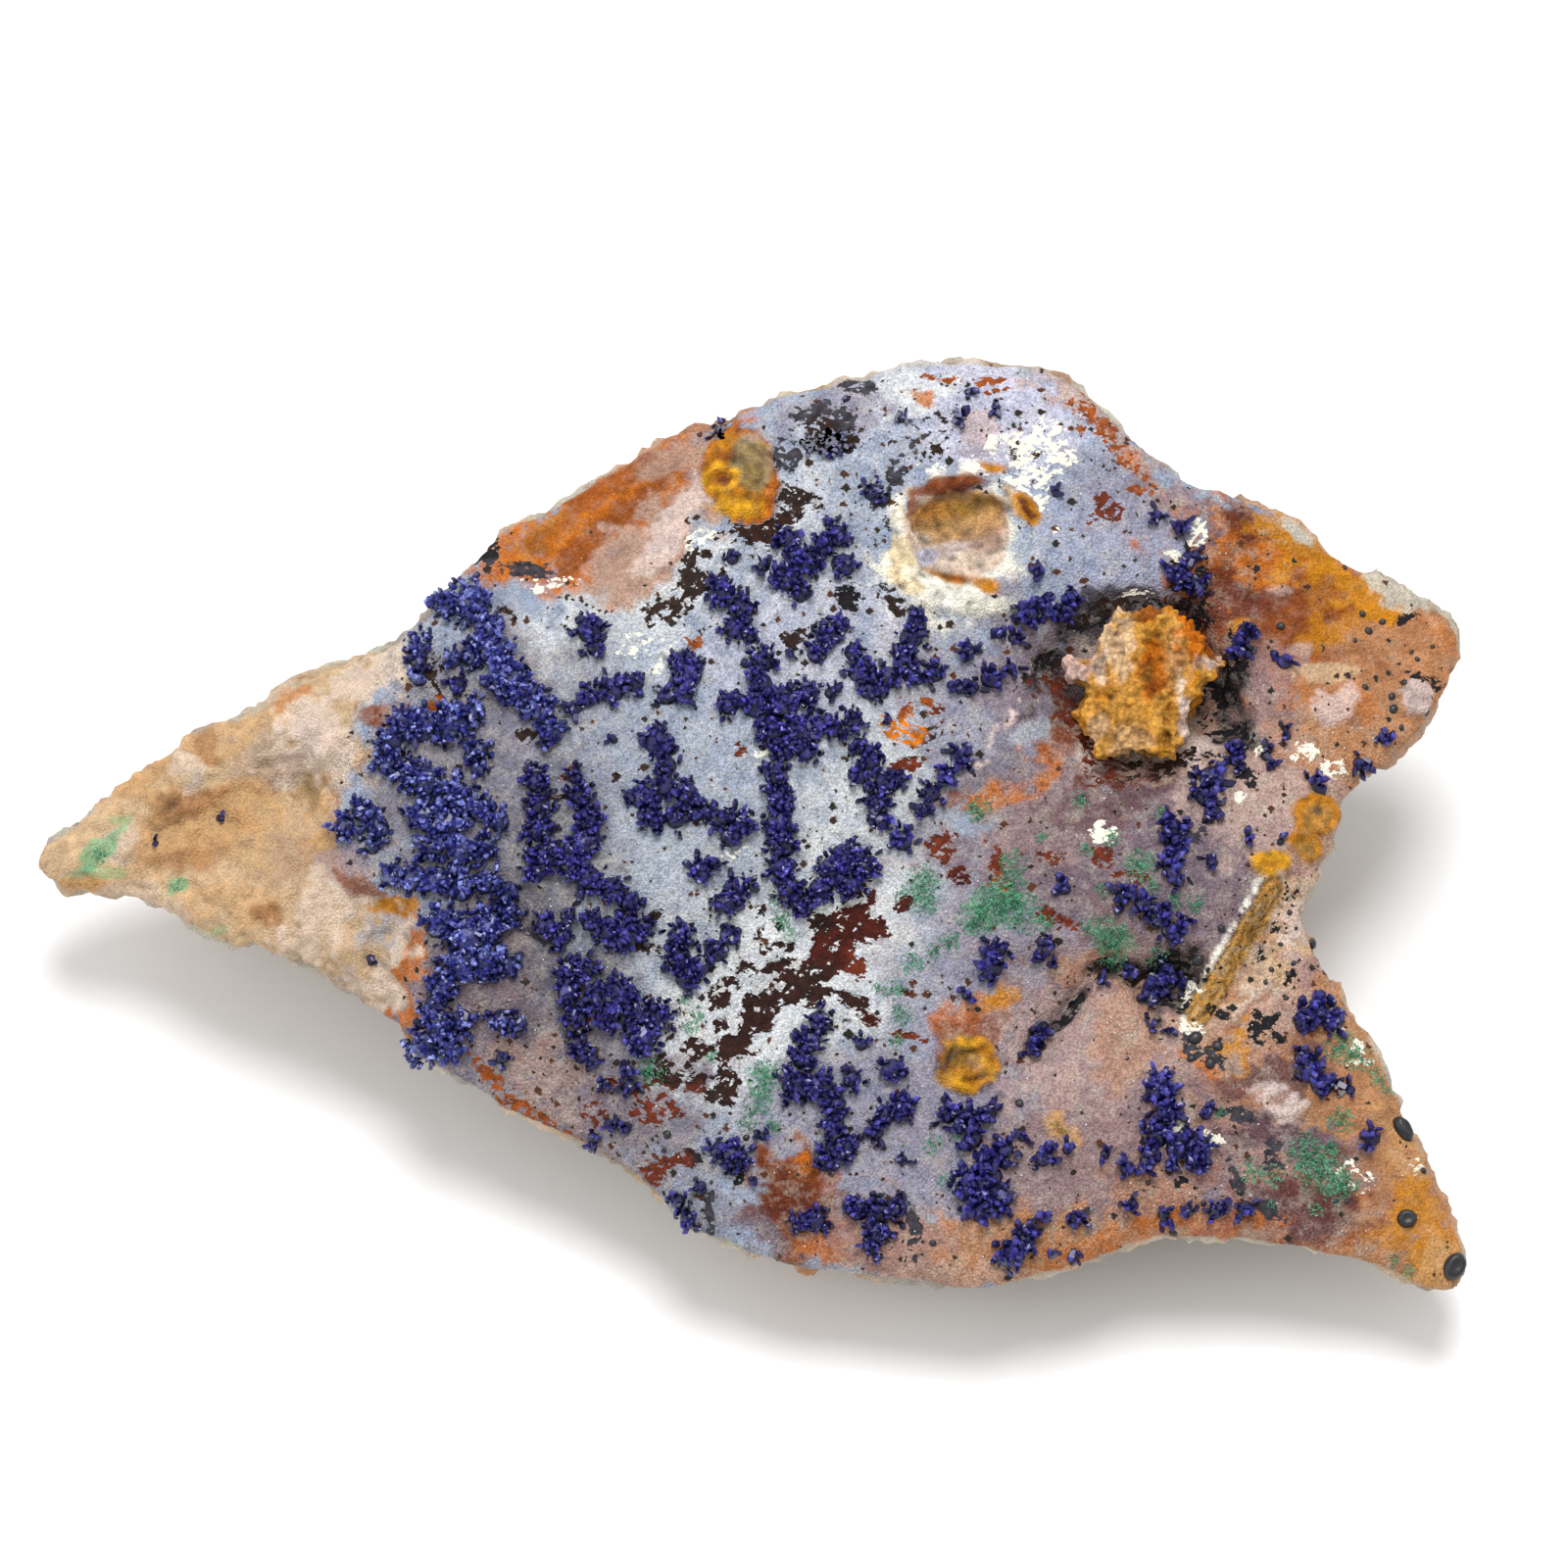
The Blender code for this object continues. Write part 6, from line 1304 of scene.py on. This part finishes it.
def bead(bm, x, y, long_radius, short_radius, turn, height, dished):
    """A bead on the rock, its long radius turned from the chart's right, with an optional dish on top."""
    foot, normal = rooted(x, y)
    if foot is None:
        return
    ball = bmesh.new()
    bmesh.ops.create_icosphere(ball, subdivisions=3 if dished else 2, radius=1.0)
    for vert in ball.verts:
        out = math.hypot(vert.co.x, vert.co.y)
        if dished and vert.co.z > 0.0:
            vert.co.z -= DISH_DEPTH * max(0.0, 1.0 - (out / DISH_RADIUS) ** 2)
        vert.co *= 1.0 + 0.06 * noise.noise(vert.co * 2.0)
    shape = bpy.data.meshes.new("bead")
    ball.to_mesh(shape)
    ball.free()
    along = CHART_TO_STONE.to_3x3() @ Vector((math.cos(turn), math.sin(turn), 0.0))
    side_axis = normal.cross(along).normalized()
    axes = Matrix((side_axis.cross(normal), side_axis, normal)).transposed().to_4x4()
    size = Matrix.Diagonal((long_radius * MM, short_radius * MM, height * MM, 1.0))
    stamp(bm, shape, Matrix.Translation(foot) @ axes @ size)
    bpy.data.meshes.remove(shape)


oxide, tree, shader = new_material("manganese oxide")
smudge = node(tree, "ShaderNodeTexNoise", {"Vector": stone_place(tree, 0.8), "Scale": 1.0, "Detail": 4.0})
ramp = colour_ramp(tree, smudge.outputs["Fac"], (0.006, 0.006, 0.008), (0.020, 0.020, 0.024))
tree.links.new(ramp.outputs[0], shader.inputs["Base Color"])
shader.inputs["Roughness"].default_value = 0.42

for name, (x, y, long_radius, short_radius, turn) in BEADS.items():
    bm = bmesh.new()
    bead(bm, x, y, long_radius, short_radius, math.radians(turn), BEAD_RISE, True)
    shown = shown_object(name.replace("bead", "button"), bm)
    shade_smooth(shown)
    shown.data.materials.append(oxide)
    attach(shown, "root")
    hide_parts(name)
bm = bmesh.new()
for x, y, radius in SMALL_BEADS:
    bead(bm, x, y, radius, radius * 0.85, x, radius * 0.6, False)
peppering = shown_object("manganese_peppering", bm)
shade_smooth(peppering)
peppering.data.materials.append(oxide)
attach(peppering, "root")


# The stage: a white floor in a soft white room, lit from above and more weakly from the left.
# The camera looks square on to the chart, with exactly its 100 mm in view.

bm = bmesh.new()
bmesh.ops.create_grid(bm, x_segments=1, y_segments=1, size=3.0)
floor = shown_object("floor", bm)
white_floor, tree, shader = new_material("white floor")
shader.inputs["Base Color"].default_value = (0.93, 0.93, 0.93, 1.0)
shader.inputs["Roughness"].default_value = 0.9
shader.inputs["Specular IOR Level"].default_value = 0.1
floor.data.materials.append(white_floor)

world = bpy.data.worlds.new("soft white room")
world.use_nodes = True
room = world.node_tree.nodes["Background"].inputs
room["Color"].default_value = (1.0, 1.0, 1.0, 1.0)
room["Strength"].default_value = 0.72
bpy.context.scene.world = world


def area_light(name, place, size, power):
    """A round light of a size in metres and a power in watts, aimed at the stone."""
    light = bpy.data.lights.new(name, "AREA")
    light.shape = "DISK"
    light.size = size
    light.energy = power
    holder = bpy.data.objects.new(name, light)
    bpy.context.scene.collection.objects.link(holder)
    holder.location = place
    holder.rotation_euler = (-Vector(place)).to_track_quat("-Z", "Y").to_euler()


area_light("window", (0.04, 0.25, 0.88), 0.5, 6.9)
area_light("fill", (-0.85, -0.15, 0.5), 0.6, 2.0)

VIEW_WIDTH = 100.0 * MM
LENS_LENGTH, SENSOR_WIDTH = 300.0, 36.0
lens = bpy.data.cameras.new("square on")
lens.lens = LENS_LENGTH
lens.sensor_width = SENSOR_WIDTH
camera = bpy.data.objects.new("square on", lens)
bpy.context.scene.collection.objects.link(camera)
away = CHART_TO_STONE.to_3x3() @ Vector((0.0, 0.0, 1.0))
camera.location = chart_point(CHART_MIDDLE, CHART_MIDDLE) + away * (VIEW_WIDTH * LENS_LENGTH / SENSOR_WIDTH)
camera.rotation_euler = (-away).to_track_quat("-Z", "Y").to_euler()
lens.clip_start = 0.05
lens.clip_end = 10.0
bpy.context.scene.camera = camera
bpy.context.scene.view_settings.view_transform = "Standard"
